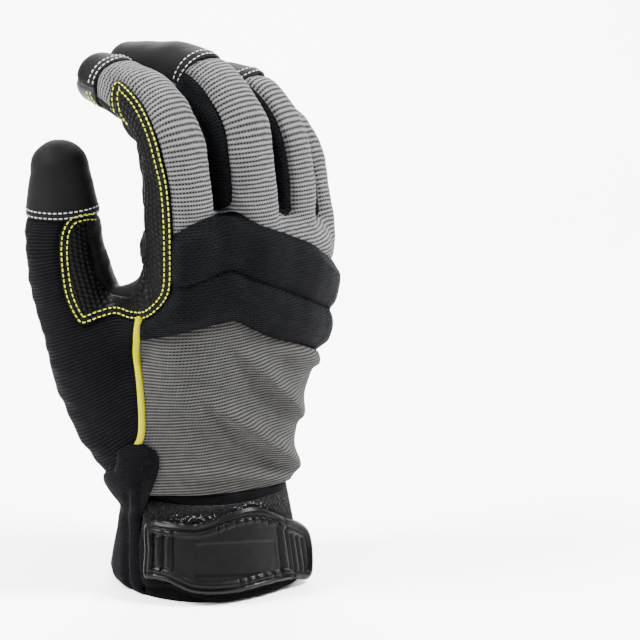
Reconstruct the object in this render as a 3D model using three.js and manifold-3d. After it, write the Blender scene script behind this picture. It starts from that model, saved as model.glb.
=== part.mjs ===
// A mechanic's work glove for the right hand, in the shape that it has on a hand: cuff down, fingers half
// curled. The glove is hollow from the cuff's mouth to the fingertips, and is made of the panels that it
// is sewn from. Millimetres. The origin is the middle of the cuff's mouth, +Z runs up to the fingers, -Y
// is the back of the hand, +Y is the palm and -X is the thumb's side.
import * as THREE from 'three';
import { mergeVertices } from 'three/addons/utils/BufferGeometryUtils.js';
import Module from 'manifold-3d';

const wasm = await Module();
wasm.setup();

// Driving dimensions
const WALL = 1.6; // knit and synthetic leather, with their backing
const CUFF_WALL = 2.4; // folded elastic band
const GAP = 0.3; // clearance between neighbouring pieces
const PATCH = 1.5; // height of a sewn-on patch over the panel under it
const PAD_HEIGHT = 3.4; // how far the foam of the knuckle pad stands out
const CUFF_TOP = 31.6; // mean height of the cuff band
const CUFF_WAVE = 0.8; // the band stands this much taller at the hand's edges than at its middle
const CUFF_LIFT = 2.6; // and this much taller at its back than at its sides
const TAB_THICK = 2.2; // moulded closing tab, without its relief
const TAB_RELIEF = 1.3; // ribs and plate on the tab
const RAISED = 1; // the fork's patch and the piping stand out by this much
const PIPING = 2.4; // width of the piping
const LOOPS = 1.4; // height of the loop pile over the cuff
const STRAP = 1; // cloth strap under the tab
const FLATS = 0.5; // the strap and the tab are bent in flats, which come this much nearer to the cuff
const TAB_ANGLES = [-180, -158, -138, -118, -98, -78]; // degrees round the cuff that the tab is bent over
const TAB_END = [19.5, 4.6]; // how the tab goes straight on after them
const FAR = 200; // reach of a cutting block past the glove
const QUARTER_TURN = -42; // degrees round +Z of the view that the seams of the back are drawn in
const LOOK_DOWN = 12; // degrees that this view looks down by
const EYE = 780; // distance of the eye from the plane of the drawing, which passes through the origin
const EYE_AT = [5, 95]; // u and v of the drawing's point straight before the eye

// A table with named columns.
function table(columns, rows) {
  return rows.map((row) => Object.fromEntries(columns.map((name, i) => [name, row[i]])));
}

// The palm and the back of the hand from the wrist up: centre, half width, depth to the back and to the
// palm, and how far the little finger's side is bent towards the palm.
const HAND = table(['z', 'x', 'y', 'wide', 'back', 'palm', 'arch'], [
  [24.5, 0, -0.4, 30.6, 25.4, 25.2, 0],
  [38.6, 0.5, -1.4, 29.8, 24.3, 24.3, 0],
  [52.6, 1.9, -2.9, 30.4, 22.9, 22.7, 0],
  [64.6, 3.9, -4.4, 33.3, 21.6, 21.1, 1.2],
  [78.4, 6.9, -6.4, 36.9, 20.6, 20.1, 3],
  [92.1, 9.4, -7.9, 39.3, 20.3, 19.5, 4.6],
  [105.8, 10.8, -9.2, 38.8, 20.8, 18.4, 5.4],
  [117.3, 11.6, -10, 38.6, 20.4, 16.9, 5.8],
  [126, 9, -10.6, 35.6, 18.8, 14.5, 5],
  [131.5, 5.5, -11, 29.6, 16, 12, 3],
  [134.6, 3.6, -11, 24.6, 11.5, 8.5, 1],
]);

// Each digit from inside the hand to where its round tip begins: centre, half width, half depth front to
// back. across points from the thumb's side of the digit to its other side. cap is the row where the
// fingertip cap begins.
const SECTION = ['x', 'y', 'z', 'wide', 'deep'];
const DIGITS = {
  index: { across: [1, 0, 0], tip: 7.5, cap: 6.3, rows: table(SECTION, [
    [-19, -7.4, 98.1, 10.3, 12.4],
    [-21.7, -10.4, 117.1, 10.6, 13.2],
    [-22.3, -10.5, 133.9, 10.4, 13.1],
    [-22.8, -9.8, 150.6, 10.3, 12.5],
    [-23.2, -6.6, 162.2, 10.3, 11.9],
    [-23.5, 3.2, 171.4, 10.2, 11.1],
    [-23.8, 15.1, 176.3, 9.8, 9.7],
    [-24.3, 26.4, 178.8, 9.3, 8.5],
  ]) },
  middle: { across: [1, 0, 0], tip: 8.5, cap: 5.4, rows: table(SECTION, [
    [0.9, -11.9, 98, 10.2, 13.5],
    [1.4, -16.9, 119.1, 10.4, 13.2],
    [0.7, -18, 136.1, 10.7, 12.7],
    [0, -17.5, 153, 10.7, 12.3],
    [-0.3, -14.4, 164.2, 10.4, 11.9],
    [-0.6, -4.2, 174.8, 10, 11.2],
    [-1.8, 11.1, 180.8, 9.8, 9.8],
    [-3.4, 34.6, 180.6, 9.2, 8.7],
  ]) },
  ring: { across: [1, 0, 0], tip: 8, cap: 5.4, rows: table(SECTION, [
    [22.4, -9.8, 96, 9.6, 12.8],
    [23.1, -14.2, 116.5, 9.8, 12.7],
    [23, -15, 132.9, 9.7, 12.4],
    [22.4, -14.4, 148.2, 9.6, 12.1],
    [21.7, -11.4, 159.3, 9.6, 11.6],
    [20.8, -3.1, 167.8, 9.6, 10.9],
    [19.6, 8.8, 172.3, 9.4, 9.8],
    [17.8, 29.5, 171.6, 8.9, 8.6],
  ]) },
  little: { across: [1, 0, 0], tip: 7.5, cap: 5.6, rows: table(SECTION, [
    [37, -5.6, 92, 8, 10],
    [41.5, -5.6, 110, 8.8, 11.6],
    [43.3, -4.4, 125.8, 9, 11.6],
    [43.2, -2.6, 139.6, 9, 11.2],
    [42.8, 1.2, 150.3, 9, 10.6],
    [42, 7.6, 156.8, 8.9, 10],
    [41, 14.8, 159.4, 8.6, 9.2],
    [39, 26.2, 157, 8.1, 8.1],
  ]) },
  thumb: { across: [0.743, -0.669, 0], tip: 11, cap: 6.05, rows: table(SECTION, [
    [-11.7, 4, 34.9, 14.8, 16.7],
    [-18, 7, 47.1, 18.1, 17.6],
    [-26.2, 14.3, 61.9, 18.5, 17.5],
    [-32.3, 21.8, 80.5, 16.5, 15.5],
    [-35.4, 27.5, 99.9, 15, 13.6],
    [-37.5, 31.7, 117.3, 14.1, 12.4],
    [-37.4, 32.9, 130.8, 12.9, 11.6],
    [-37.8, 33.4, 147, 10.1, 10.1],
  ]) },
  // The skin between thumb and forefinger, a short bridge with its wide side upright.
  web: { across: [0, 0, 1], tip: 3, cap: 3, rows: table(SECTION, [
    [-37, 31.2, 82.4, 10.7, 6.8],
    [-31.9, 19.1, 89.3, 12.6, 7.3],
    [-27, 7.1, 97.1, 12.5, 7.7],
    [-23.3, -4.7, 104.8, 11.4, 8.5],
  ]) },
};
const FINGERS = ['index', 'middle', 'ring', 'little'];
// The walls between the fingers: the rows of the two fingers' tables where they begin, and how far they
// reach on the right finger, to the back in half depths and across it in half widths.
const FORKS = table(['left', 'right', 'leftRow', 'rightRow', 'reach', 'across'], [
  ['index', 'middle', 1.95, 1.95, -0.42, -0.55],
  ['middle', 'ring', 1.75, 1.85, -0.82, -0.55],
  ['ring', 'little', 1.5, 1.75, -0.98, -0.3],
]);
const TOUCH = ['index', 'middle', 'thumb']; // digits with a smooth pad on the front of the tip
const BACK_EDGE = -0.42; // seams along a finger, in half depths to the palm: of the grey back
const FRONT_EDGE = 0.45; // and of the leather front

// The line that parts the back of the hand and of the thumb from the palm, at each height: its depth at
// the little finger's side, and a point of it at the hand's middle, at the fork of the thumb and at the
// thumb's middle.
const SIDE_SEAM = table(['z', 'littleY', 'midX', 'midY', 'forkX', 'forkY', 'thumbX', 'thumbY'], [
  [8, 2, 0, 2, -8, 4, -18, 6],
  [60, 2, 4, 1, -10, 8, -25, 17],
  [98, -2, -8, -2, -28, 9, -34.3, 31],
  [112, -3, -10, -3, -37, -2, -36, 34],
  [127, -4, -10, -4, -37, -3, -37, 37],
]);

// Seams of the back of the hand in the quarter view: u to the right and v up, from the middle of the
// cuff's mouth.
const PAD_TOP = [
  [-16, 120], [-13.3, 121.5], [-5.2, 125.8], [2.5, 129.2], [7.9, 130.4], [12.3, 129.5],
  [19.1, 125.8], [28.8, 122.6], [38.5, 118.5], [44.9, 113.6], [60, 102],
];
const PAD_CREASE = [
  [-16, 104], [-5.2, 105.8], [2.5, 107.7], [8.4, 108.3], [14.2, 107.3], [24, 104.8], [33.7, 100.5],
  [44.4, 95.6], [60, 88],
];
const PAD_BOTTOM = [
  [-26, 84], [-15, 85.1], [-5.2, 87.3], [4.5, 89.8], [9.8, 90.5], [16.7, 87.3], [24, 84.4],
  [33.7, 82.4], [41, 79.5], [60, 72],
];
// From the cuff up to the forefinger: the seam that parts the thumb's side from the back of the hand.
const THUMB_SEAM = [
  [-26, 16], [-26.5, 42], [-25.4, 47.5], [-24.4, 54], [-24.6, 61], [-25, 70.4], [-26, 78.7],
  [-25.8, 84.4], [-24.8, 91], [-19.5, 94.5], [-14.8, 101], [-13.4, 110], [-13.4, 150],
];
const THUMB_SEAM_ACROSS = THUMB_SEAM.map(([u, v]) => [v, u]); // the same seam by its height
// The textured patch over the fork of thumb and forefinger, below the forefinger itself.
const WEB_PATCH = [
  [-13.2, 128], [-13.2, 106], [-14.6, 99.6], [-18, 95], [-23, 91.9], [-33.5, 93.3], [-45.3, 90],
  [-49, 93.4], [-53, 107.5], [-53.6, 118], [-51, 126.4], [-44.5, 128.6], [-30, 128.8],
];

// Folds of the loose cloth between knuckle pad and cuff, as ridges in the quarter view.
const FOLDS = table(['u0', 'v0', 'u1', 'v1', 'high', 'halfWidth'], [
  [2, 59, 33, 36, 3.4, 4.2],
  [14, 71, 36, 53, 2.4, 4],
  [22, 80, 44, 76, 1.8, 3.4],
  [-8, 36, 20, 33, 1.6, 3.4],
]);

// Reinforcements of the palm, in the view from the other side: u to the right and v up.
const PALM_PAD = [
  [16.8, 102.6], [10.5, 104.6], [-15, 96.8], [-29.2, 91.2], [-35, 85], [-36.3, 78], [-30.6, 55],
  [-22.2, 33.8], [-16.5, 28.4], [-8, 26.8], [1.4, 28.7], [4.8, 34], [5.5, 55], [10.5, 80.5],
];
const THUMB_BALL = [
  [34.5, 94.6], [39.6, 91], [43.8, 79], [40.2, 63.4], [34.5, 53.5], [27, 44.4], [19.6, 39.6],
  [14.4, 44], [14.7, 57.9], [20, 75.6], [27.5, 90.4],
];
const FINGER_BASE = [
  [27.5, 142], [23.1, 131.5], [18.4, 131], [6.2, 138.5], [1.9, 137.8], [1.2, 127], [-6.5, 128.7],
  [-14, 134.3], [-13, 120], [-16.5, 113.8], [-22.2, 115.3], [-29, 124], [-36.3, 125.8],
  [-39.8, 119], [-37, 109], [-31, 105], [-10.8, 107.4], [27.5, 121],
];

// The moulded tab of the wrist closure and what stands out on it, in the quarter view.
const TAB = [
  [-26, 17.8], [-1, 16.2], [5.6, 18.2], [11.6, 21.7], [18.8, 22.5], [24.5, 19.8], [33.7, 15.6],
  [37.2, 10], [37.6, 0], [34.5, -3.6], [27, -3.6], [11.6, -7.6], [2, -8.4], [-12, -4], [-26, -1.6],
];
const TAB_PLATE = [
  [-4, 11], [3, 12.5], [9.5, 16.6], [17, 17.6], [23.4, 13], [25.2, 1], [8, -3], [-5, -1.6],
];
const TAB_RIBS = table(['u', 'low', 'high', 'width'], [
  [-22.5, 1.5, 14.5, 2],
  [-18.3, 1, 14.2, 2],
  [-14.1, 0.4, 13.8, 2],
  [28.2, 0, 14.5, 1.8],
  [31.2, 0.4, 13.4, 1.8],
  [34, 0.8, 11.8, 1.6],
]);
const HOOK_STRAP = [
  [-24, 18.6], [-8, 17.6], [6, 19.6], [14, 23], [24, 21.4], [31, 16], [32, 2], [27, -4.6],
  [4, -9.6], [-6, -7.4], [-24, -3],
];
const LOOP_FIELD = [[-22, 24.4], [-4, 22.6], [16, 26.6], [27, 26.4], [27, -2], [4, -7.4], [-22, -1]];
const CUFF_FLAP = [
  [-24, -12], [-24, 38], [-22.6, 41.5], [-25, 44.4], [-29, 45], [-32.4, 42.4], [-33, 36], [-40, 30],
  [-40, -12],
];
const SLIT_GUSSET = [
  [-23.5, 27], [-23.5, 38], [-22.1, 41.2], [-20.8, 42], [-19.2, 40], [-18.2, 35], [-19, 29],
  [-19.6, 26],
];

// Half width and half depth of the cuff at its mouth and at its top edge.
const CUFF = [[33.8, 32], [27.8, 26.6]];

const CLOTH = { roughness: 0.9, metalness: 0 };
const MATERIALS = {
  greyKnit: new THREE.MeshStandardMaterial({ color: 0x8f8d8b, ...CLOTH }),
  padKnit: new THREE.MeshStandardMaterial({ color: 0x1b1c1f, ...CLOTH }),
  ribbedKnit: new THREE.MeshStandardMaterial({ color: 0x151618, ...CLOTH }),
  leather: new THREE.MeshStandardMaterial({ color: 0x1a1b1a, roughness: 0.7, metalness: 0 }),
  gripLeather: new THREE.MeshStandardMaterial({ color: 0x2b2d31, roughness: 0.5, metalness: 0 }),
  dottedGrip: new THREE.MeshStandardMaterial({ color: 0x17171a, roughness: 0.6, metalness: 0 }),
  piping: new THREE.MeshStandardMaterial({ color: 0xf0dc28, roughness: 0.6, metalness: 0 }),
  elastic: new THREE.MeshStandardMaterial({ color: 0x1c1e20, ...CLOTH }),
  rubber: new THREE.MeshStandardMaterial({ color: 0x232325, roughness: 0.45, metalness: 0 }),
};

// The axes of a view that is turned round +Z and looks down: right, up, and out of the picture to the eye.
function viewAxes(turn, down, at) {
  const a = THREE.MathUtils.degToRad(turn);
  const e = THREE.MathUtils.degToRad(down);
  const right = new THREE.Vector3(Math.cos(a), Math.sin(a), 0);
  const eye = new THREE.Vector3(Math.sin(a) * Math.cos(e), -Math.cos(a) * Math.cos(e), Math.sin(e));
  return { right, up: new THREE.Vector3().crossVectors(eye, right), eye, at };
}
const BACK_VIEW = viewAxes(QUARTER_TURN, LOOK_DOWN, EYE_AT);
const PALM_VIEW = viewAxes(QUARTER_TURN + 180, LOOK_DOWN, [-EYE_AT[0], EYE_AT[1]]);

// Where the eye of the quarter view sees a point: u and v in its drawing.
function seen(point) {
  const share = EYE / (EYE - point.dot(BACK_VIEW.eye));
  return [BACK_VIEW.right, BACK_VIEW.up].map(
    (axis, i) => THREE.MathUtils.lerp(EYE_AT[i], point.dot(axis), share));
}

// Height of a polyline of [u, v] points at u.
function heightAt(line, u) {
  const next = line.findIndex((p) => p[0] > u);
  if (next <= 0) return line[next < 0 ? line.length - 1 : 0][1];
  const [[u0, v0], [u1, v1]] = [line[next - 1], line[next]];
  return THREE.MathUtils.mapLinear(u, u0, u1, v0, v1);
}

// One closed body from a geometry, with its faces turned outwards.
function solidOf(geometry) {
  geometry.deleteAttribute('normal');
  geometry.deleteAttribute('uv');
  const merged = mergeVertices(geometry, 1e-4);
  const make = (triVerts) => new wasm.Manifold(
    new wasm.Mesh({ numProp: 3, vertProperties: merged.attributes.position.array, triVerts }));
  const triangles = new Uint32Array(merged.index.array);
  const made = make(triangles);
  return made.volume() > 0 ? made : make(triangles.reverse());
}

// A solid through rings of the same number of points, closed at both ends with a fan.
function loft(rings) {
  const count = rings[0].length;
  const middle = (ring) => ring.reduce((sum, p) => sum.add(p), new THREE.Vector3()).divideScalar(count);
  const points = [...rings.flat(), middle(rings[0]), middle(rings.at(-1))];
  const [first, last] = [points.length - 2, points.length - 1];
  const top = (rings.length - 1) * count;
  const faces = [];
  for (let j = 0; j < count; j++) {
    const k = (j + 1) % count;
    for (let i = 0; i < top; i += count) {
      faces.push(i + j, i + k, i + count + j, i + k, i + count + k, i + count + j);
    }
    faces.push(first, k, j, last, top + j, top + k);
  }
  const geometry = new THREE.BufferGeometry().setFromPoints(points);
  geometry.setIndex(faces);
  return solidOf(geometry);
}

// A point of a rounded rectangle: squareness 2 is an ellipse, and more is squarer.
function roundedPoint(angle, halfX, halfY, squareness) {
  const bend = (value) => Math.sign(value) * Math.abs(value) ** (2 / squareness);
  return [halfX * bend(Math.cos(angle)), halfY * bend(Math.sin(angle))];
}

// Where a digit is at a row, whole or part: its middle, its side and palm directions, and its half sizes.
function stationOf(digit, row) {
  const last = digit.rows.length - 1;
  const curve = new THREE.CatmullRomCurve3(digit.rows.map(({ x, y, z }) => new THREE.Vector3(x, y, z)));
  const share = Math.min(row, last) / last;
  const along = curve.getTangent(share);
  const side = new THREE.Vector3(...digit.across);
  side.addScaledVector(along, -side.dot(along)).normalize();
  const low = digit.rows[Math.min(Math.floor(row), last)];
  const high = digit.rows[Math.min(Math.floor(row) + 1, last)];
  const part = row % 1;
  return {
    middle: curve.getPoint(share), along, side, palm: new THREE.Vector3().crossVectors(along, side),
    wide: THREE.MathUtils.lerp(low.wide, high.wide, part),
    deep: THREE.MathUtils.lerp(low.deep, high.deep, part),
  };
}

// Directions of the hand's columns in degrees round +Z: close together on the back, and further apart on
// the palm.
const HAND_COLUMNS = [
  0, 26, 56, 90, 124, 154, 180, 196, 212, 227, 241, 255, 269, 282, 294, 306, 318, 330, 344,
];
const CUFF_SIDES = 20;
const DIGIT_ROWS = [0, 1, 2, 3, 4, 4.5, 5, 6, 7]; // rows at which a digit's body and its panels bend
const RINGS = [7, 3, 3, 3, 1]; // rings of the hand up to the pad, in its two lobes, above it, and the last
const DIGIT_SIDES = 10;
const HOLLOW_SIDES = 6;
const HOLLOW_ROWS = [0, 2, 3, 4, 5, 6, 7];
const TIP_STEPS = [0, 40, 72];

// How far the folds of the loose cloth push a point of the back outwards, seen at [u, v].
function foldAt(u, v) {
  return FOLDS.reduce((sum, { u0, v0, u1, v1, high, halfWidth }) => {
    const [du, dv] = [u1 - u0, v1 - v0];
    const along = THREE.MathUtils.clamp(((u - u0) * du + (v - v0) * dv) / (du * du + dv * dv), 0, 1);
    const away = Math.hypot(u - u0 - along * du, v - v0 - along * dv);
    return sum + high * Math.exp(-((away / halfWidth) ** 2));
  }, 0);
}

// A point of the hand's surface, in a direction from its middle and at a height, and the way that it faces.
function handPoint(angle, z, grow) {
  const high = Math.max(1, HAND.findIndex((row) => row.z >= z - 1e-6));
  const [a, b] = [HAND[high - 1], HAND[high]];
  const at = (key) => THREE.MathUtils.mapLinear(z, a.z, b.z, a[key], b[key]);
  const deep = Math.sin(angle) < 0 ? at('back') : at('palm');
  const [x, y] = roundedPoint(angle, at('wide') + grow, deep + grow, 2.25);
  const outward = new THREE.Vector3(x / at('wide') ** 2, y / deep ** 2, 0).normalize();
  const bent = at('arch') * Math.max(x / at('wide'), 0) ** 2;
  return { point: new THREE.Vector3(at('x') + x, at('y') + y + bent, z), outward };
}

// The height at which a column of the hand's surface meets a line of the quarter view.
function meeting(angle, line, above) {
  let z = 90;
  for (let i = 0; i < 8; i++) {
    const [u, v] = seen(handPoint(angle, z, 0).point);
    z = THREE.MathUtils.clamp(z + heightAt(line, u) + above - v, HAND[0].z + 20, HAND.at(-1).z - 3);
  }
  return z;
}

// The body of the hand, made larger by grow. Its rings follow the seams of the knuckle pad, which stands
// out in two lobes. Where grow is negative it is plain, and smaller.
function handBody(grow = 0) {
  const [bottom, top] = [HAND[0].z, HAND.at(-1).z];
  if (grow < 0) {
    return loft(HAND.filter((_, i) => i % 2 === 0).map(({ z }) => Array.from({ length: 14 },
      (_, j) => handPoint((2 * Math.PI * j) / 14, z, grow).point.setZ(Math.min(z, top + grow)))));
  }
  const columns = HAND_COLUMNS.map((degrees) => {
    const angle = THREE.MathUtils.degToRad(degrees);
    const seams = [[PAD_BOTTOM, -1], [PAD_CREASE, 0], [PAD_TOP, 1]];
    const knots = [bottom, ...seams.map(([line, above]) => meeting(angle, line, above)), top];
    return RINGS.flatMap((count, k) => Array.from({ length: count }, (__, i) => {
      const share = i / count;
      const z = THREE.MathUtils.lerp(knots[k], knots[k + 1] ?? top, share);
      const { point, outward } = handPoint(angle, z, grow);
      const [u, v] = seen(point);
      const facing = THREE.MathUtils.smoothstep(-outward.y, 0, 0.6);
      const beside = THREE.MathUtils.smoothstep(u - heightAt(THUMB_SEAM_ACROSS, v), 0, 6);
      const pad = k === 1 || k === 2 ? PAD_HEIGHT * Math.sqrt(4 * share * (1 - share)) : 0;
      return point.addScaledVector(outward, facing * beside * (pad + (k === 0 ? foldAt(u, v) : 0)));
    }));
  });
  return loft(columns[0].map((_, i) => columns.map((column) => column[i])));
}

// A digit's body, made larger by grow, or smaller where grow is negative, with a round tip.
function digitBody(digit, grow = 0) {
  const hollow = grow < 0;
  const sides = hollow ? HOLLOW_SIDES : DIGIT_SIDES;
  const section = ({ side, palm, wide, deep }, centre, share) => Array.from({ length: sides }, (_, j) => {
    const [halfWide, halfDeep] = [wide, deep].map((size) => (size + grow) * share);
    const [a, b] = roundedPoint((2 * Math.PI * j) / sides, halfWide, halfDeep, 2.2);
    return centre.clone().addScaledVector(side, a).addScaledVector(palm, b);
  });
  const last = digit.rows.length - 1;
  const rings = [];
  for (const row of (hollow ? HOLLOW_ROWS : DIGIT_ROWS).filter((value) => value < last)) {
    const station = stationOf(digit, row);
    rings.push(section(station, station.middle, 1));
  }
  const end = stationOf(digit, last);
  for (const degrees of TIP_STEPS) {
    const angle = THREE.MathUtils.degToRad(degrees);
    const centre = end.middle.clone().addScaledVector(end.along, (digit.tip + grow) * Math.sin(angle));
    rings.push(section(end, centre, Math.cos(angle)));
  }
  return loft(rings);
}

// The height of the cuff band's top edge in a direction from the cuff's middle.
function cuffTop(angle) {
  return CUFF_TOP + CUFF_WAVE * Math.cos(2 * angle) - CUFF_LIFT * Math.sin(angle);
}

// The body of the cuff up to its top edge and extra more, and down to bottom. Its lid is flat from its
// wall to lid millimetres inside the cuff's own wall.
function cuffBody(grow, { bottom = 0, extra = 0, sides = CUFF_SIDES, lid = grow - 1 } = {}) {
  const rings = [[grow, 0], [grow, 1], [lid, 1]];
  return loft(rings.map(([more, share]) => Array.from({ length: sides }, (_, j) => {
    const angle = (2 * Math.PI * j) / sides;
    const z = THREE.MathUtils.lerp(bottom, cuffTop(angle) + extra, share);
    const [wide, deep] = CUFF.map(
      ([low, high]) => THREE.MathUtils.mapLinear(z, 0, CUFF_TOP, low, high) + more);
    const [x, y] = roundedPoint(angle, wide, deep, 2.15);
    return new THREE.Vector3(x, y, z);
  })));
}

// The whole glove as one body, its surface moved out by grow.
function skin(grow) {
  const digits = Object.values(DIGITS).map((digit) => digitBody(digit, grow));
  return digits.reduce((whole, digit) => whole.add(digit), handBody(grow));
}

// A point of a digit's section, in half widths across and half depths to the palm, with some millimetres
// more.
function cornerOf({ middle, side, palm, wide, deep }, across, front, moreAcross = 0, moreFront = 0) {
  return middle.clone().addScaledVector(side, across * wide + moreAcross)
    .addScaledVector(palm, front * deep + moreFront);
}

// A block that follows a digit between two rows. side and palm are its limits in half widths and half
// depths.
function block(digit, { from, to, side, palm, over = 0 }, grow = 0) {
  const section = (station, shift = 0) => [[0, 0], [1, 0], [1, 1], [0, 1]].map(([i, j]) => cornerOf(
    station, side[i], palm[j], (i ? grow : -grow), (j ? grow : -grow),
  ).addScaledVector(station.along, shift));
  const rings = [section(stationOf(digit, from), -grow)];
  for (const row of DIGIT_ROWS.filter((value) => value > from && value < to)) {
    rings.push(section(stationOf(digit, row)));
  }
  rings.push(section(stationOf(digit, to), over ? 0 : grow));
  if (over) rings.push(section(stationOf(digit, to), over));
  return loft(rings);
}

// The space between two fingers with both their facing walls, from the fork up to and a little past their
// caps' edges.
function between({ left, right, leftRow, rightRow, reach, across: inner }, grow = 0) {
  const steps = 4;
  const past = 0.1;
  const walls = loft(Array.from({ length: steps + 1 }, (_, i) => {
    const shift = i === 0 ? -grow : i === steps ? grow : 0;
    const [a, b] = [[DIGITS[left], leftRow], [DIGITS[right], rightRow]].map(
      ([digit, row]) => stationOf(digit, THREE.MathUtils.lerp(row, digit.cap + past, i / steps)));
    const lean = Math.sign(b.middle.y - a.middle.y);
    const edge = (front, more) => [[a, 0.5, 0], [a, 1.05, -lean], [b, -1.05, -lean], [b, -0.5, 0]].map(
      ([station, across, beside]) => cornerOf(station, across, front, beside * more, more)
        .addScaledVector(station.along, shift));
    return [...edge(BACK_EDGE, -grow), ...edge(FRONT_EDGE, grow).reverse()];
  }));
  if (reach >= BACK_EDGE) return walls;
  const digit = DIGITS[right];
  const limits = { from: rightRow, to: digit.cap + past, side: [-1.1, inner], palm: [reach, 0] };
  return walls.add(block(digit, limits, grow));
}

// The block that an eye sees inside a closed outline of [u, v] points of its drawing, between two depths.
function throughView(view, outline, near, far) {
  const shape = new THREE.Shape(outline.map(([u, v]) => new THREE.Vector2(u, v)));
  const geometry = new THREE.ExtrudeGeometry(shape, { depth: near - far, bevelEnabled: false });
  geometry.translate(0, 0, far);
  const points = geometry.attributes.position;
  for (let i = 0; i < points.count; i++) {
    const share = (EYE - points.getZ(i)) / EYE;
    points.setX(i, THREE.MathUtils.lerp(view.at[0], points.getX(i), share));
    points.setY(i, THREE.MathUtils.lerp(view.at[1], points.getY(i), share));
  }
  geometry.applyMatrix4(new THREE.Matrix4().makeBasis(view.right, view.up, view.eye));
  return solidOf(geometry);
}

// The strip along a polyline of the quarter view, half millimetres to each side of it.
function strip(line, half) {
  const edge = (sign) => line.map(([u, v], i) => {
    const [a, b] = [line[Math.max(i - 1, 0)], line[Math.min(i + 1, line.length - 1)]];
    const length = Math.hypot(b[0] - a[0], b[1] - a[1]);
    return [u - (sign * half * (b[1] - a[1])) / length, v + (sign * half * (b[0] - a[0])) / length];
  });
  return [...edge(1), ...edge(-1).reverse()];
}

// The palm's side of the seam that runs up the little finger's side and the thumb.
function palmSide(grow = 0) {
  const [dx, dy] = [0.669 * grow, 0.743 * grow];
  const hand = loft(SIDE_SEAM.map(({ z, littleY, midX, midY, forkX, forkY, thumbX, thumbY }) => [
    [thumbX - 0.743 * FAR, thumbY + 0.669 * FAR],
    [thumbX, thumbY], [forkX, forkY], [midX, midY], [FAR, littleY],
  ].map(([x, y]) => [x - dx, y - dy]).concat([[FAR, FAR], [FAR - 50, FAR + 50]])
    .map(([x, y]) => new THREE.Vector3(x, y, z))));
  const fronts = FINGERS.map((name) => block(DIGITS[name],
    { from: 1.2, to: DIGITS[name].cap + 0.2, side: [-1.28, 1.28], palm: [FRONT_EDGE, 1.4] }, grow));
  const thumb = block(DIGITS.thumb, { from: 5.2, to: 6.5, side: [-1.4, 1.4], palm: [0.25, 1.4] }, grow);
  return [...fronts, thumb].reduce((whole, part) => whole.add(part), hand);
}

// The biggest body of a solid that cutting has left in several.
function biggest(solid) {
  const bodies = solid.decompose().sort((a, b) => b.volume() - a.volume());
  return bodies[0];
}

// The outline drawn again inside itself, distance away.
function inset(outline, distance) {
  const turn = Math.sign(THREE.ShapeUtils.area(outline.map(([u, v]) => new THREE.Vector2(u, v))));
  return outline.map(([u, v], i) => {
    const [a, b] = [outline.at(i - 1), outline[(i + 1) % outline.length]];
    const length = Math.hypot(b[0] - a[0], b[1] - a[1]);
    return [u - (turn * distance * (b[1] - a[1])) / length, v + (turn * distance * (b[0] - a[0])) / length];
  });
}

// An upright band over the back of the cuff, between two distances from it. Past the last angle it goes
// straight on, so that its end stands off the little finger's side of the cuff.
function tabBand(low, high) {
  const path = TAB_ANGLES.map((degrees) => {
    const [x, y] = roundedPoint(THREE.MathUtils.degToRad(degrees), CUFF[0][0], CUFF[1][0], 2.15);
    return new THREE.Vector2(x, y);
  });
  path.push(path.at(-1).clone().add(new THREE.Vector2(...TAB_END)));
  const offset = (distance) => path.map((p, i) => {
    const along = path[Math.min(i + 1, path.length - 1)].clone().sub(path[Math.max(i - 1, 0)]).normalize();
    return new THREE.Vector2(p.x + along.y * distance, p.y - along.x * distance);
  });
  const shape = new THREE.Shape([...offset(low), ...offset(high).reverse()]);
  const geometry = new THREE.ExtrudeGeometry(shape, { depth: 60, bevelEnabled: false });
  return solidOf(geometry);
}

const hollow = Object.values(DIGITS)
  .reduce((whole, digit) => whole.add(digitBody(digit, -WALL)), handBody(-WALL))
  .add(cuffBody(-CUFF_WALL, { bottom: -5, extra: 1, sides: 16 }));
const cuffZone = cuffBody(30, { bottom: -20, extra: GAP, lid: -8 });
const BACK_REACH = [140, -40];
const PALM_REACH = [140, 0];
const pieces = [];

// The glove's cloth, as it is under the panels and as it is where a panel stands out.
const sheath = {
  flat: skin(0).subtract(hollow).subtract(cuffZone),
  raised: skin(RAISED).subtract(hollow).subtract(cuffZone),
};

// Cuts a panel from the cloth. region gives the panel's share of space, with the clearance added to it.
function panel(name, material, region, layer = 'flat') {
  pieces.push({ name, material, solid: biggest(sheath[layer].intersect(region(0))) });
  sheath.flat = sheath.flat.subtract(region(GAP));
  sheath.raised = sheath.raised.subtract(region(GAP));
}

const wholes = new Map();
function whole(grow) {
  if (!wholes.has(grow)) wholes.set(grow, skin(grow).add(cuffBody(grow, { extra: 2 * GAP })));
  return wholes.get(grow);
}

// Lays a patch on the glove inside an outline of a view.
function patch(name, material, view, outline, [near, far]) {
  const layer = whole(PATCH).subtract(whole(GAP)).intersect(throughView(view, outline, near, far));
  const kept = view === PALM_VIEW ? layer.intersect(palmSide(-2 * GAP)) : layer;
  pieces.push({ name, material, solid: biggest(kept) });
}

// Fingertip caps, with the smooth pads on the fronts of three of them.
for (const [name, digit] of Object.entries(DIGITS).filter(([key]) => key !== 'web')) {
  const to = digit.rows.length - 1;
  const limits = { from: digit.cap, to, side: [-1.12, 1.12], palm: [-1.2, 1.2], over: 16 };
  const touch = { ...limits, from: digit.cap + 0.15, palm: [0.1, 1.3], side: [-1.3, 1.3] };
  panel(`${name}_cap`, MATERIALS.leather, (grow) => block(digit, limits, grow));
  if (!TOUCH.includes(name)) continue;
  const cap = pieces.at(-1);
  const front = biggest(cap.solid.intersect(block(digit, touch)));
  cap.solid = biggest(cap.solid.subtract(block(digit, touch, GAP)));
  pieces.push({ name: `${name}_touch`, material: MATERIALS.gripLeather, solid: front });
}

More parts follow.
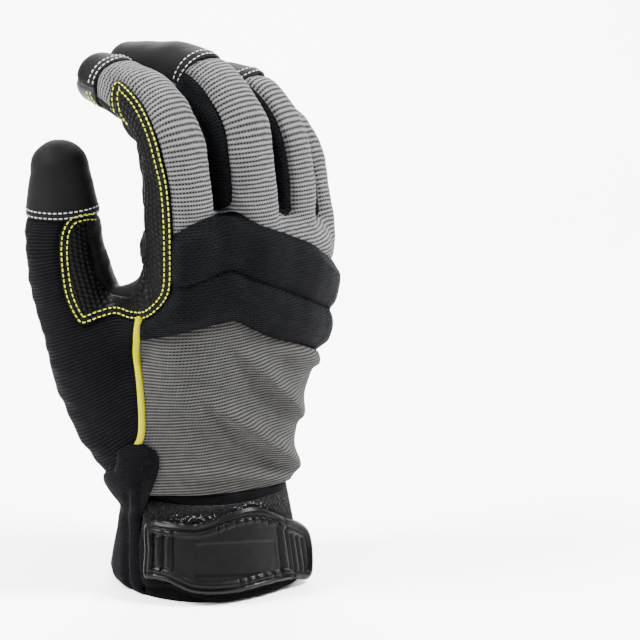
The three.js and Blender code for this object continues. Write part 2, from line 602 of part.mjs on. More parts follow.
FORKS.forEach((fork, i) => panel(`fourchette_${i + 1}`, MATERIALS.padKnit, (grow) => between(fork, grow)));

panel('palm_panel', MATERIALS.leather, palmSide);

const indexSide = { from: 1.1, to: 5.3, side: [-1.3, -0.5], palm: [-0.42, 0.55] };
panel('web_patch', MATERIALS.dottedGrip,
  (grow) => throughView(BACK_VIEW, inset(WEB_PATCH, -grow), ...BACK_REACH)
    .add(block(DIGITS.index, indexSide, grow)), 'raised');

const pipingLine = THUMB_SEAM.slice(2, 9);
panel('side_piping', MATERIALS.piping,
  (grow) => throughView(BACK_VIEW, strip(pipingLine, PIPING / 2 + grow), BACK_REACH[0], 0), 'raised');

const thumbOutline = [
  ...THUMB_SEAM.slice(0, 10), [-30, 104], [-34, 128], [-34, 175], [-FAR, 175], [-FAR, 16],
];
panel('thumb_side_panel', MATERIALS.ribbedKnit,
  (grow) => throughView(BACK_VIEW, inset(thumbOutline, -grow), ...BACK_REACH));

const padOutline = [[-40, 84], ...PAD_BOTTOM, ...[...PAD_TOP].reverse(), [-40, 120]];
panel('knuckle_pad', MATERIALS.padKnit,
  (grow) => throughView(BACK_VIEW, inset(padOutline, -grow), ...BACK_REACH));

const lowerOutline = [[-60, 10], [70, 10], ...[...PAD_BOTTOM].reverse(), [-60, 84]];
panel('back_lower', MATERIALS.greyKnit,
  (grow) => throughView(BACK_VIEW, inset(lowerOutline, -grow), ...BACK_REACH));
const indexBack = { from: 0.8, to: 6.6, side: [-1.3, 1.2], palm: [-1.3, 0] };
panel('index_back', MATERIALS.greyKnit, (grow) => block(DIGITS.index, indexBack, grow));
panel('finger_backs', MATERIALS.greyKnit, () => sheath.flat);

patch('palm_pad', MATERIALS.leather, PALM_VIEW, PALM_PAD, PALM_REACH);
patch('thumb_ball_pad', MATERIALS.leather, PALM_VIEW, THUMB_BALL, PALM_REACH);
patch('finger_base_pad', MATERIALS.leather, PALM_VIEW, FINGER_BASE, PALM_REACH);
patch('cuff_flap', MATERIALS.elastic, BACK_VIEW, CUFF_FLAP, [BACK_REACH[0], 4]);
patch('slit_gusset', MATERIALS.elastic, BACK_VIEW, SLIT_GUSSET, [BACK_REACH[0], 0]);

// The cuff and its closure.
const cuff = cuffBody(0);
pieces.push({
  name: 'cuff_band', material: MATERIALS.elastic,
  solid: cuff.subtract(cuffBody(-CUFF_WALL, { bottom: -5, extra: 5, sides: 16 })),
});
const loops = cuffBody(LOOPS).subtract(cuffBody(GAP));
const inView = (outline) => throughView(BACK_VIEW, outline, BACK_REACH[0], -20);
pieces.push({
  name: 'loop_patch', material: MATERIALS.elastic, solid: biggest(loops.intersect(inView(LOOP_FIELD))),
});

const strapFrom = LOOPS + GAP + FLATS;
const tabFrom = strapFrom + STRAP + GAP;
const tabTop = tabFrom + TAB_THICK;
pieces.push({
  name: 'hook_strap', material: MATERIALS.elastic,
  solid: biggest(tabBand(strapFrom, strapFrom + STRAP).intersect(inView(HOOK_STRAP))),
});
const rise = tabBand(tabTop - GAP, tabTop + TAB_RELIEF);
const rim = inView(TAB).subtract(inView(inset(TAB, 2.2)));
const ribs = TAB_RIBS.map(({ u, low, high, width }) => inView(
  [[u - width / 2, low], [u + width / 2, low], [u + width / 2, high], [u - width / 2, high]]));
const raisedParts = [...ribs, inView(TAB_PLATE)].reduce((sum, part) => sum.add(part), rim);
pieces.push({
  name: 'strap_tab', material: MATERIALS.rubber,
  solid: biggest(tabBand(tabFrom, tabTop).intersect(inView(TAB)).add(rise.intersect(raisedParts))),
});

function meshOf({ name, solid, material }) {
  const { vertProperties, triVerts, numProp } = solid.getMesh();
  const geometry = new THREE.BufferGeometry();
  geometry.setAttribute('position', new THREE.InterleavedBufferAttribute(
    new THREE.InterleavedBuffer(new Float32Array(vertProperties), numProp), 3, 0));
  geometry.setIndex(new THREE.BufferAttribute(new Uint32Array(triVerts), 1));
  const mesh = new THREE.Mesh(geometry, material.clone());
  mesh.name = name;
  return mesh;
}

const group = new THREE.Group();
group.name = 'mechanic_glove';
for (const piece of pieces) group.add(meshOf(piece));
export default group;
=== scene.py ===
"""A mechanic's work glove for the right hand, standing on its cuff with its fingers half curled.

The glove is one smooth form, cut into the panels that it is sewn from. Each panel is pushed in along its seams and
out where it is padded or folded, gets its thickness, and is dressed in its own cloth, leather or rubber. Stitches
are laid on it thread by thread. Sizes are in millimetres, and meshes are made in metres.
"""
import logging
import math
from dataclasses import dataclass, field
from enum import Enum
from typing import Callable, Sequence

import bpy
import numpy as np
from mathutils import Matrix, Vector
from mathutils.bvhtree import BVHTree
from mathutils.kdtree import KDTree


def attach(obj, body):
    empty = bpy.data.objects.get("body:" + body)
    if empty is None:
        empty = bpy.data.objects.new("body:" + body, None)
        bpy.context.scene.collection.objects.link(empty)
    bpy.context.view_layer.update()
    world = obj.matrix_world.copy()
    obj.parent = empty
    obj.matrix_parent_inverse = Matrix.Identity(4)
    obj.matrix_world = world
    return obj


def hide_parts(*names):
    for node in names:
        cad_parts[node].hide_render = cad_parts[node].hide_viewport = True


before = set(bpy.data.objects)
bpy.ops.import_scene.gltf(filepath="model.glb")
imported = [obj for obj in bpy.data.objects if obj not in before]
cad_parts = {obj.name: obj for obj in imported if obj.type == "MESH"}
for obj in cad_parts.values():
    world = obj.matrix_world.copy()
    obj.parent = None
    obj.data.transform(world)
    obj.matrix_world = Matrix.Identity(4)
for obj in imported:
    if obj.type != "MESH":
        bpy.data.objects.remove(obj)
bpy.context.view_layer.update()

LOG = logging.getLogger("glove")
Array = np.ndarray
MM = 0.001
GRID = 0.85  # step of the grid that the form is read on
MAP = 0.01  # units of the cloth's own map to a millimetre
IMAGE = 640  # side of the photograph in its pixels
SCALE = 2.75  # its pixels to a millimetre of the drawing
MOUTH = (208, 570)  # its pixel, right and down, that shows the middle of the cuff's mouth
EYE = 780.0  # distance of the eye from the plane of the drawing, which passes through the origin
EYE_AT = (5.0, 95.0)  # the drawing's point straight before the eye
WALL = 1.5  # thickness of knit and synthetic leather
CUFF_TOP = 33.2  # mean height of the cuff band
CUFF_MOUTH = (33.8, 32.0)  # half width and half depth of its outer face at the mouth
CUFF_TAPER = (6.0, 5.4)  # how much smaller they are at its top
CUFF_POWER = 2.15  # of its rounded section, where 2 is an ellipse
ROUND = 32.0  # radius that ribs running round the hand or the cuff are measured at
ROW = 16.0  # about how far apart the rows of a finger lie
SKIN = 1.5  # a point this near to a digit belongs to it
OUTSIDE = -50.0  # stands for far outside a panel

# The palm and the back of the hand from the wrist up: height, centre, half width, depth to the back and to the palm,
# and how far the little finger's side is bent towards the palm.
HAND = (
    (25.0, 0.0, -0.4, 26.6, 25.0, 25.0, 0.0),
    (31.0, 0.0, -0.7, 27.4, 25.6, 25.4, 0.0),
    (36.5, 0.3, -1.2, 29.6, 25.4, 25.0, 0.0),
    (45.0, 1.0, -2.0, 29.9, 23.9, 23.8, 0.0),
    (52.6, 1.9, -2.9, 30.4, 22.9, 22.7, 0.0),
    (64.6, 3.9, -4.4, 33.3, 21.6, 21.1, 1.2),
    (78.4, 6.9, -6.4, 36.9, 20.6, 20.1, 3.0),
    (92.1, 9.4, -7.9, 39.3, 20.3, 19.5, 4.6),
    (105.8, 10.8, -9.2, 38.8, 20.8, 18.4, 5.4),
    (117.3, 11.6, -10.0, 38.6, 20.4, 16.9, 5.8),
    (126.0, 9.0, -10.6, 35.6, 18.8, 14.5, 5.0),
    (131.5, 5.5, -11.0, 29.6, 16.0, 12.0, 3.0),
    (134.6, 3.6, -11.0, 24.6, 11.5, 8.5, 1.0),
)

# The line that parts the back of the hand and of the thumb from the palm, at each height: its depth at the little
# finger's side, and a point of it at the hand's middle, at the fork of the thumb and at the thumb's middle.
SIDE_SEAM = (
    (8, 2, 0, 2, -8, 4, -18, 6),
    (60, 2, 4, 1, -10, 8, -25, 17),
    (98, -2, -8, -2, -28, 9, -34.3, 31),
    (112, -3, -10, -3, -37, -2, -36, 34),
    (127, -4, -10, -4, -37, -3, -37, 37),
)

# Seams of the back of the hand in the quarter view: u to the right and v up, from the middle of the cuff's mouth.
PAD_TOP = ((-16, 120), (-13.3, 121.5), (-5.2, 125.8), (2.5, 129.2), (7.9, 130.6), (12.3, 129.5), (19.1, 125.8),
           (28.8, 122.6), (38.5, 118.5), (44.9, 113.6), (60, 102))
PAD_CREASE = ((-16, 102.4), (-5.2, 104.4), (2.5, 107.4), (8.4, 109.2), (14.2, 107.0), (24, 103.2), (33.7, 99.5),
              (44.4, 94.6), (60, 87))
PAD_BOTTOM = ((-26, 84), (-15, 85.1), (-5.2, 87.3), (4.5, 89.8), (9.8, 90.6), (16.7, 87.6), (24, 84.4), (33.7, 82),
              (41, 79.3), (60, 72))
THUMB_SEAM = ((-26, 16), (-26.5, 42), (-25.4, 47.5), (-24.4, 54), (-24.6, 61), (-25, 70.4), (-26, 78.7),
              (-25.8, 84.4), (-24.8, 91), (-19.5, 94.5), (-14.8, 101), (-13.4, 110), (-13.4, 150), (-13.4, 200))
PIPING = ((-24.8, 92), (-25.8, 84.4), (-26, 78.7), (-25, 70.4), (-24.4, 61), (-24.1, 54.2), (-24.4, 49.5),
          (-26.2, 45.8), (-28.6, 44.4))
WEB_LOBE = ((-30.6, 160.5), (-33.4, 165), (-34.8, 171.5), (-34, 176.6))
WEB_EDGE = ((-31.4, 178.6), (-26.3, 174), (-22.2, 168), (-18.4, 159), (-16, 150), (-13.9, 140.5), (-13, 130),
            (-12.7, 118), (-12.9, 105.5), (-14, 100), (-17.3, 95.3), (-22.5, 91.7), (-28.5, 91.7), (-33.5, 93.3),
            (-39, 92), (-45.3, 90), (-48.3, 92.5), (-51.5, 99.5), (-53, 107.5), (-53.6, 117.5), (-52.6, 124.5),
            (-49.5, 129), (-44.5, 130.8), (-38.5, 131))
WEB_BACK = ((-35.5, 132.5), (-34.5, 140), (-34.5, 152), (-32.5, 158.5))
CUFF_FLAP = ((-25.2, -14), (-24.6, 20), (-24.2, 36), (-20.8, 40), (-20.4, 44), (-24, 46.4), (-29, 46.2), (-33, 44),
             (-34.5, 38), (-42, 30), (-42, -14))
SLIT_GUSSET = ((-25.5, 20), (-25.5, 38), (-21, 44.5), (-18.8, 42.5), (-18.3, 38), (-19.6, 33), (-21.8, 28),
               (-23.6, 23))
LOOP_FIELD = ((-23.4, 27.4), (-14, 26.4), (-2, 26.2), (10, 27.4), (20, 29), (28.5, 31), (29, 12), (28, -3), (4, -8),
              (-24, -1), (-24, 20))
HOOK_STRAP = ((-24.5, 17), (-14, 17.6), (-4, 17), (4, 18.8), (12, 23.6), (20, 23.6), (27, 20), (31.6, 15), (33, 2),
              (27.5, -5.6), (14, -9.6), (3, -11.4), (-6, -9.4), (-15, -5.6), (-25, -3.6))
TAB = ((-23.4, 17.9), (-15.6, 17.5), (-8.8, 16.7), (-4.3, 16.6), (0.7, 18), (5.3, 20), (9.8, 21.8), (14.4, 22.9),
       (18.5, 22.9), (22.5, 21.4), (27.1, 19.3), (31.2, 18), (34.4, 15.9), (36, 13.2), (36.8, 8.2), (37, 1.8),
       (36.4, -2), (34.4, -3.6), (30.7, -3.3), (25.3, -4.1), (18.5, -5.8), (11.6, -7.5), (4.8, -8.4), (-2, -8.4),
       (-7.5, -7.5), (-11.5, -5.7), (-15.6, -3.7), (-20.6, -2.4), (-24.3, -1.4), (-23.9, 8))
TAB_PLATE = ((-5.6, 10), (23.4, 11), (24.6, -0.6), (10, -1.8), (-5.6, -1.8))
TAB_GROOVES = (-20.5, -17.1, -13.6)  # at the tab's left end, where each crosses its middle
TAB_SLOTS = (29.1, 30.95, 32.8)  # at its right end, where each begins at the top
TAB_TICKS = ((3.7, 6.4, 10.5, 13.7, 16.6, 19.4, 21.9), (9.6, 12.5, 15.5, 18.7, 21.9, 24.8))  # over and under its plate
# Lines across the tab, right of the plate: u at a height, that height, lean, how high it stands and half width.
TAB_LINES = ((24.3, 17.7, 0.09, -0.7, 0.42), (25.5, 16.8, 0.13, 0.6, 0.7), (27.0, 16.8, 0.15, -0.8, 0.5))

# Folds of the loose cloth between knuckle pad and cuff, as ridges in the quarter view: ends, height and half width.
FOLDS = (
    (1.5, 60.5, 32.0, 36.8, 5.2, 3.4),
    (12.0, 79.0, 34.0, 55.5, 3.8, 3.3),
    (24.5, 80.0, 44.0, 74.5, 2.2, 4.0),
    (-18.0, 36.0, 30.0, 33.0, 1.8, 2.8),
    (-14.0, 66.0, 14.0, 41.0, 1.5, 5.0),
    (-18.0, 79.0, 8.0, 66.0, 0.9, 4.5),
    (-16.0, 52.0, 2.0, 38.0, 1.0, 3.6),
)

# Reinforcements of the palm, in the view from the other side.
PALM_PAD = ((16.8, 103), (11.9, 104.6), (-0.9, 101), (-15, 96.8), (-29.2, 91.2), (-34.3, 86), (-36.3, 79), (-34.9, 69),
            (-30.6, 55), (-26.4, 43.6), (-22.2, 34.6), (-16.5, 29.6), (-8, 28.4), (1.9, 30), (4.8, 34.4),
            (4.8, 40.7), (5.5, 55), (7.6, 69), (10.5, 80.5), (16.1, 93.2))
THUMB_BALL = ((34.5, 94.6), (38.8, 91.8), (43, 83.3), (43.8, 74.8), (40.2, 63.4), (34.5, 53.5), (27.5, 45),
              (20.4, 39.4), (16.1, 40.8), (14, 46.4), (14.7, 57.9), (17.5, 69.1), (21.8, 80.6), (27.5, 90.4))
FINGER_BASE = ((28.9, 142.8), (26.8, 137), (23.1, 131.5), (19, 130.7), (13.3, 134.3), (6.2, 138.5), (1.9, 137.8),
               (1.9, 128.7), (-0.9, 126.5), (-6.5, 128.7), (-13.6, 134.3), (-15.3, 132.9), (-13, 124.4),
               (-13, 118.7), (-16.5, 113.8), (-22.2, 115.3), (-27.1, 121.5), (-32, 125.8), (-36.3, 125.8),
               (-39.8, 120), (-38.4, 111.6), (-33.5, 106), (-25, 104.6), (-10.8, 107.4), (6.2, 113.8),
               (27.5, 123.7))


class Quarter(Enum):
    """The two quarter views that seams are drawn in, by their turn round the glove in degrees."""

    BACK = -42.0
    PALM = 138.0


@dataclass(frozen=True)
class View:
    """A drawing seen by an eye that is turned round the glove and looks down on it."""

    quarter: Quarter
    down: float = 12.0

    def axes(self) -> tuple[Array, Array, Array]:
        """Right, up, and out of the drawing to the eye."""
        turn, down = math.radians(self.quarter.value), math.radians(self.down)
        right = np.array([math.cos(turn), math.sin(turn), 0.0])
        eye = np.array([math.sin(turn) * math.cos(down), -math.cos(turn) * math.cos(down), math.sin(down)])
        return right, np.cross(eye, right), eye

    def at(self) -> Array:
        """The drawing's point straight before the eye."""
        return np.array([EYE_AT[0] if self.quarter is Quarter.BACK else -EYE_AT[0], EYE_AT[1]])

    def seen(self, points: Array) -> Array:
        """Finds where the eye sees points.

        Args:
            points: an (n, 3) array in millimetres.

        Returns:
            An (n, 2) array of u and v in the drawing.
        """
        right, up, eye = self.axes()
        share = (EYE / (EYE - points @ eye))[:, None]
        flat = np.stack([points @ right, points @ up], 1)
        return self.at() + (flat - self.at()) * share

    def ray(self, u: float, v: float) -> tuple[Array, Array]:
        """The eye's place and the way it looks to see the drawing's point (u, v)."""
        right, up, eye = self.axes()
        start = right * self.at()[0] + up * self.at()[1] + eye * EYE
        way = right * u + up * v - start
        return start, way / np.linalg.norm(way)


BACK_VIEW = View(Quarter.BACK)
PALM_VIEW = View(Quarter.PALM)


def smooth_line(points: Sequence[Sequence[float]], steps: int = 6, closed: bool = False) -> Array:
    """Draws a smooth curve through points.

    Args:
        points: the rows that the curve passes through, with any number of columns.
        steps: how many points the curve gets for each row.
        closed: whether its end joins its start.

    Returns:
        The curve's points, one row each.
    """
    given = np.asarray(points, float)
    ends = (given[-1:], given[:2]) if closed else (2 * given[:1] - given[1:2], 2 * given[-1:] - given[-2:-1])
    p = np.concatenate([ends[0], given, ends[1]])
    t = (np.arange(steps) / steps)[None, :, None]
    a, b, c, d = (p[i:len(p) - 3 + i, None, :] for i in range(4))
    curve = 0.5 * (2 * b + (c - a) * t + (2 * a - 5 * b + 4 * c - d) * t**2 + (3 * b - a - 3 * c + d) * t**3)
    curve = curve.reshape(-1, given.shape[1])
    return curve if closed else np.concatenate([curve, given[-1:]])


def unit(vectors: Array) -> Array:
    """Vectors, one to a row, each made 1 long."""
    return vectors / (np.linalg.norm(vectors, axis=-1, keepdims=True) + 1e-9)


def arc_of(line: Array) -> Array:
    """How far along a line each of its points lies."""
    return np.concatenate([[0], np.cumsum(np.linalg.norm(np.diff(line, axis=0), axis=1))])


def read_at(at: Array | float, arc: Array, values: Array) -> Array:
    """Rows of values that belong to lengths of arc, read at other lengths."""
    return np.stack([np.interp(at, arc, column) for column in values.T], -1)


def relaxed(line: Array, rounds: int) -> Array:
    """A line's rows, drawn towards their neighbours some times, with both ends kept."""
    line = line.copy()
    for _ in range(rounds):
        line[1:-1] = (line[:-2] + 2 * line[1:-1] + line[2:]) / 4
    return line


def inside_by(outline: Array, points: Array) -> Array:
    """Measures how far points lie inside a closed outline.

    Args:
        outline: the outline's corners, an (m, 2) array.
        points: an (n, 2) array.

    Returns:
        The distance to the outline, positive inside it and negative outside.
    """
    a, b = outline, np.roll(outline, -1, 0)
    best = np.full(len(points), 1e9)
    odd = np.zeros(len(points), bool)
    x, y = points[:, 0], points[:, 1]
    for (ax, ay), (bx, by) in zip(a, b):
        ex, ey = bx - ax, by - ay
        t = np.clip(((x - ax) * ex + (y - ay) * ey) / (ex * ex + ey * ey + 1e-12), 0, 1)
        best = np.minimum(best, (x - ax - t * ex) ** 2 + (y - ay - t * ey) ** 2)
        if ay != by:
            odd ^= ((ay > y) != (by > y)) & (x < ax + (y - ay) * ex / ey)
    return np.where(odd, 1.0, -1.0) * np.sqrt(best)


def above_line(line: Array, across: Array, height: Array) -> Array:
    """Measures how far points lie above a line that runs from left to right.

    Args:
        line: the line's points, an (m, 2) array.
        across: the points' first coordinates.
        height: their second coordinates.

    Returns:
        The distance above the line, made shorter where the line is steep.
    """
    slope = np.interp(across, line[:, 0], np.gradient(line[:, 1], line[:, 0] + 1e-6 * np.arange(len(line))))
    return (height - np.interp(across, line[:, 0], line[:, 1])) / np.sqrt(1 + slope**2)


def smooth_union(a: Array, b: Array, radius: float) -> Array:
    """The distance to two forms that flow into each other over radius millimetres."""
    mix = np.clip(0.5 + 0.5 * (b - a) / radius, 0, 1)
    return b * (1 - mix) + a * mix - radius * mix * (1 - mix)


@dataclass(frozen=True)
class Spots:
    """Where points lie on a digit: distance, row, arc length, and across and front in half sizes."""

    distance: Array
    row: Array
    arc: Array
    across: Array
    front: Array
    deep: Array
    wide: Array


@dataclass(frozen=True)
class Digit:
    """A finger, the thumb or the skin between them, from inside the hand to where its round tip begins."""

    name: str
    rows: tuple[tuple[float, ...], ...]
    tip: float
    cap: float
    side: tuple[float, float, float] = (1.0, 0.0, 0.0)
    steps: int = 12
    squareness: float = 2.2

    def stations(self) -> tuple[Array, ...]:
        """Centre, along, side and palm directions, half sizes and arc length, at steps to each row."""
        fine = smooth_line(self.rows, self.steps)
        centre = fine[:, :3]
        along = unit(np.gradient(centre, axis=0))
        side = unit(np.array(self.side) - (along @ np.array(self.side))[:, None] * along)
        return centre, along, side, np.cross(along, side), fine[:, 3], fine[:, 4], arc_of(centre)

    def arc_at(self, row: float) -> float:
        """The arc length at a row, whole or part."""
        return float(np.interp(row * self.steps, np.arange((len(self.rows) - 1) * self.steps + 1), self.stations()[6]))

    def seam(self) -> float:
        """The arc length where its cap is sewn on."""
        return self.arc_at(self.cap)

    def spots(self, points: Array) -> Spots:
        """Finds where points lie on the digit.

        Args:
            points: an (n, 3) array in millimetres.

        Returns:
            Their distance from its surface and their coordinates on it.
        """
        centre, along, side, palm, wide, deep, arc = self.stations()
        nearest = np.empty(len(points), np.int32)
        batch = 200000
        for start in range(0, len(points), batch):
            part = points[start:start + batch].astype(np.float32)
            far = (centre**2).sum(1).astype(np.float32) - 2 * part @ centre.T.astype(np.float32)
            nearest[start:start + batch] = far.argmin(1)
        last = len(centre) - 1
        step = arc[-1] / last
        spacing = np.gradient(arc)
        ahead = ((points - centre[nearest]) * along[nearest]).sum(1) / np.maximum(spacing[nearest], 0.2 * step)
        at = np.clip(nearest + np.clip(ahead, -1, 1), 0, last)
        low = np.minimum(at.astype(int), last - 1)
        part = (at - low)[:, None]

        def mixed(values: Array) -> Array:
            """The values between two stations."""
            share = part if values.ndim == 2 else part[:, 0]
            return values[low] * (1 - share) + values[low + 1] * share

        away = points - mixed(centre)
        a, b, over = ((away * mixed(axis)).sum(1) for axis in (side, palm, along))
        w, d = mixed(wide), mixed(deep)
        over = np.where((at > 0) & (at < last), 0, over)
        n = self.squareness
        k = ((np.abs(a) / w) ** n + (np.abs(b) / d) ** n) ** (1 / n)
        k = np.sqrt(k**2 + (over / self.tip) ** 2) + 1e-6
        reach = np.sqrt(a**2 + b**2 + over**2)
        return Spots(reach * (1 - 1 / k), at / self.steps, mixed(arc) + over, a / w, b / d, d, w)


DIGITS: dict[str, Digit] = {d.name: d for d in (
    Digit("index", ((-19, -7.4, 98.1, 10.3, 12.4), (-21.7, -10.4, 117.1, 10.6, 13.2), (-22.3, -10.5, 133.9, 10.4, 13.1),
                    (-22.8, -9.8, 150.6, 10.3, 12.5), (-23.2, -6.6, 162.2, 10.3, 11.9),
                    (-23.5, 3.2, 171.4, 10.2, 11.1), (-23.8, 15.1, 176.3, 9.8, 9.7),
                    (-24.3, 26.4, 178.8, 9.3, 8.5)), 7.5, 6.3),
    Digit("middle", ((0.9, -11.9, 98, 10.2, 13.5), (1.4, -16.9, 119.1, 10.4, 13.2), (0.7, -18, 136.1, 10.7, 12.7),
                     (0, -17.5, 153, 10.7, 12.3), (-0.3, -14.4, 164.2, 10.4, 11.9), (-0.6, -4.2, 174.8, 10, 11.2),
                     (-1.8, 11.1, 180.8, 9.8, 9.8), (-3.4, 34.6, 180.6, 9.2, 8.7)), 8.5, 5.4),
    Digit("ring", ((22.4, -9.8, 96, 9.6, 12.8), (23.1, -14.2, 116.5, 9.8, 12.7), (23, -15, 132.9, 9.7, 12.4),
                   (22.4, -14.4, 148.2, 9.6, 12.1), (21.7, -11.4, 159.3, 9.6, 11.6), (20.8, -3.1, 167.8, 9.6, 10.9),
                   (19.6, 8.8, 172.3, 9.4, 9.8), (17.8, 29.5, 171.6, 8.9, 8.6)), 8.0, 5.4),
    Digit("little", ((37, -5.6, 92, 8, 10), (41.5, -5.6, 110, 8.8, 11.6), (43.3, -4.4, 125.8, 9, 11.6),
                     (43.2, -2.6, 139.6, 9, 11.2), (42.8, 1.2, 150.3, 9, 10.6), (42, 7.6, 156.8, 8.9, 10),
                     (41, 14.8, 159.4, 8.6, 9.2), (39, 26.2, 157, 8.1, 8.1)), 7.5, 5.6),
    Digit("thumb", ((-11.7, 4, 34.9, 14.8, 16.7), (-18, 7, 47.1, 18.1, 17.6), (-26.2, 14.3, 61.9, 18.5, 17.5),
                    (-32.3, 21.8, 80.5, 16.5, 15.5), (-35.4, 27.5, 99.9, 15, 13.6), (-37.5, 31.7, 117.3, 14.1, 12.4),
                    (-37.4, 32.9, 130.8, 12.9, 11.6), (-37.8, 33.4, 147, 10.1, 10.1)), 11.0, 6.05, (0.743, -0.669, 0)),
    Digit("web", ((-37, 31.2, 82.4, 10.7, 6.8), (-31.9, 19.1, 89.3, 12.6, 7.3), (-27, 7.1, 97.1, 12.5, 7.7),
                  (-23.3, -4.7, 104.8, 11.4, 8.5)), 3.0, 3.0, (0, 0, 1)),
)}
FINGERS = ("index", "middle", "ring", "little")
CAPPED = (*FINGERS, "thumb")
TOUCHING = ("index", "middle", "thumb")  # the digits with a smooth pad
# The walls between fingers: the rows where they begin, and how far they reach on the right finger, to the back in half
# depths to the palm and across it in half widths.
FORKS = (
    ("index", "middle", 2.09, 2.09, -0.42, -0.55),
    ("middle", "ring", 1.72, 1.82, -0.82, -0.55),
    ("ring", "little", 1.47, 1.72, -0.98, -0.3),
)
BACK_EDGE = -0.42  # seams along a finger, in half depths to the palm: of the grey back
FRONT_EDGE = 0.45  # and of the leather front


def hand_distance(points: Array) -> Array:
    """The distance of points from the palm and back of the hand, negative inside."""
    rows = smooth_line(HAND, 10)
    z = points[:, 2]
    cx, cy, wide, back, palm, arch = (np.interp(z, rows[:, 0], rows[:, i]) for i in range(1, 7))
    x = points[:, 0] - cx
    y = points[:, 1] - cy - arch * np.maximum(x / wide, 0) ** 2
    over = np.maximum(z - HAND[-1][0], 0) + np.minimum(z - HAND[0][0], 0)
    power, end = 2.25, 3.5  # of the rounded section, and how far its ends bulge
    k = ((np.abs(x) / wide) ** power + (np.abs(y) / np.where(y < 0, back, palm)) ** power) ** (1 / power)
    k = np.sqrt(k**2 + (over / end) ** 2) + 1e-6
    return np.sqrt(x**2 + y**2 + over**2) * (1 - 1 / k)


def glove_distance(points: Array) -> Array:
    """The distance of points from the glove above its cuff, all its parts flowing into each other."""

    def near(digit: Digit) -> tuple[Array, Array]:
        """The numbers of the points near a digit, and their distances from it."""
        centres = np.array(digit.rows)[:, :3]
        low, high = centres.min(0) - 30, centres.max(0) + 30
        found = np.nonzero(((points > low) & (points < high)).all(1))[0]
        return found, digit.spots(points[found]).distance

    whole = hand_distance(points)
    fingers = np.full(len(points), 12.0)
    for name in FINGERS:
        found, distance = near(DIGITS[name])
        fingers[found] = smooth_union(fingers[found], distance, 0.9)
    whole = smooth_union(whole, fingers, 3.6)
    for name, radius in (("thumb", 11.0), ("web", 5.0)):
        found, distance = near(DIGITS[name])
        whole[found] = smooth_union(whole[found], distance, radius)
    return whole


class FormGrid:
    """A form given by its distance field, read on a grid and meshed."""

    def __init__(self, low: Sequence[float], high: Sequence[float], step: float,
                 distance: Callable[[Array], Array]) -> None:
        """Reads the field.

        Args:
            low: the grid's lowest corner, in millimetres.
            high: its highest corner.
            step: distance between its points.
            distance: gives the distance of points from the form, negative inside.
        """
        self.low, self.step = np.array(low, float), step
        self.shape = tuple(int(n) for n in np.ceil((np.array(high) - self.low) / step).astype(int) + 1)
        axes = [self.low[i] + step * np.arange(self.shape[i]) for i in range(3)]
        points = np.stack(np.meshgrid(*axes, indexing="ij"), -1).reshape(-1, 3)
        self.values = distance(points).reshape(self.shape)

    def sample(self, points: Array) -> tuple[Array, Array]:
        """Reads the field between the grid's points.

        Args:
            points: an (n, 3) array in millimetres.

        Returns:
            The distances and the unit directions in which they grow.
        """
        at = np.clip((points - self.low) / self.step, 0.001, np.array(self.shape) - 1.002)
        cell = at.astype(int)
        t = at - cell
        value = np.zeros(len(points))
        slope = np.zeros((len(points), 3))
        for corner in np.ndindex(2, 2, 2):
            weight = np.where(corner, t, 1 - t)
            v = self.values[tuple((cell + corner).T)]
            value += v * weight.prod(1)
            for axis in range(3):
                others = [i for i in range(3) if i != axis]
                slope[:, axis] += v * (1 if corner[axis] else -1) * weight[:, others].prod(1)
        return value, slope / self.step

    def surface(self) -> tuple[Array, Array]:
        """Meshes the form with quads.

        Returns:
            Its points and its quads, which face outwards.
        """
        inside = self.values < 0
        nx, ny, nz = self.shape
        total = np.zeros((nx - 1, ny - 1, nz - 1, 3), np.float32)
        count = np.zeros((nx - 1, ny - 1, nz - 1), np.int8)
        quads = []
        for axis in range(3):
            o1, o2 = [i for i in range(3) if i != axis]
            lead = [slice(None)] * 3
            lead[axis] = slice(0, -1)
            trail = [slice(None)] * 3
            trail[axis] = slice(1, None)
            a, b = self.values[tuple(lead)], self.values[tuple(trail)]
            cross = np.argwhere(inside[tuple(lead)] != inside[tuple(trail)])
            va, vb = a[tuple(cross.T)], b[tuple(cross.T)]
            hit = cross.astype(float)
            hit[:, axis] += va / (va - vb)
            limits = np.array(total.shape[:3])
            corners = []
            for d1, d2 in ((-1, -1), (0, -1), (0, 0), (-1, 0)):
                cell = cross.copy()
                cell[:, o1] += d1
                cell[:, o2] += d2
                good = ((cell >= 0) & (cell < limits)).all(1)
                np.add.at(total, tuple(cell[good].T), hit[good])
                np.add.at(count, tuple(cell[good].T), 1)
                corners.append((cell, good))
            every = np.logical_and.reduce([good for _, good in corners])
            ids = np.stack([np.ravel_multi_index(cell[every].T, total.shape[:3]) for cell, _ in corners], 1)
            flip = (va[every] < 0) ^ (axis == 1)
            ids[~flip] = ids[~flip][:, ::-1]
            quads.append(ids)
        used, quads_used = np.unique(np.concatenate(quads), return_inverse=True)
        points = (total.reshape(-1, 3)[used] / count.reshape(-1)[used][:, None]) * self.step + self.low
        quads_used = quads_used.reshape(-1, 4)
        return self._settle(points, quads_used), quads_used

    def _settle(self, points: Array, quads: Array) -> Array:
        """Spreads the points evenly and puts them on the surface."""
        for _ in range(4):
            total = np.zeros_like(points)
            count = np.zeros(len(points))
            for i in range(4):
                np.add.at(total, quads[:, i], points[quads[:, (i + 1) % 4]])
                np.add.at(count, quads[:, i], 1)
            points = points + 0.55 * (total / count[:, None] - points)
            for _ in range(2):
                value, slope = self.sample(points)
                points = points - slope * (value / np.maximum((slope**2).sum(1), 0.2))[:, None]
        return points


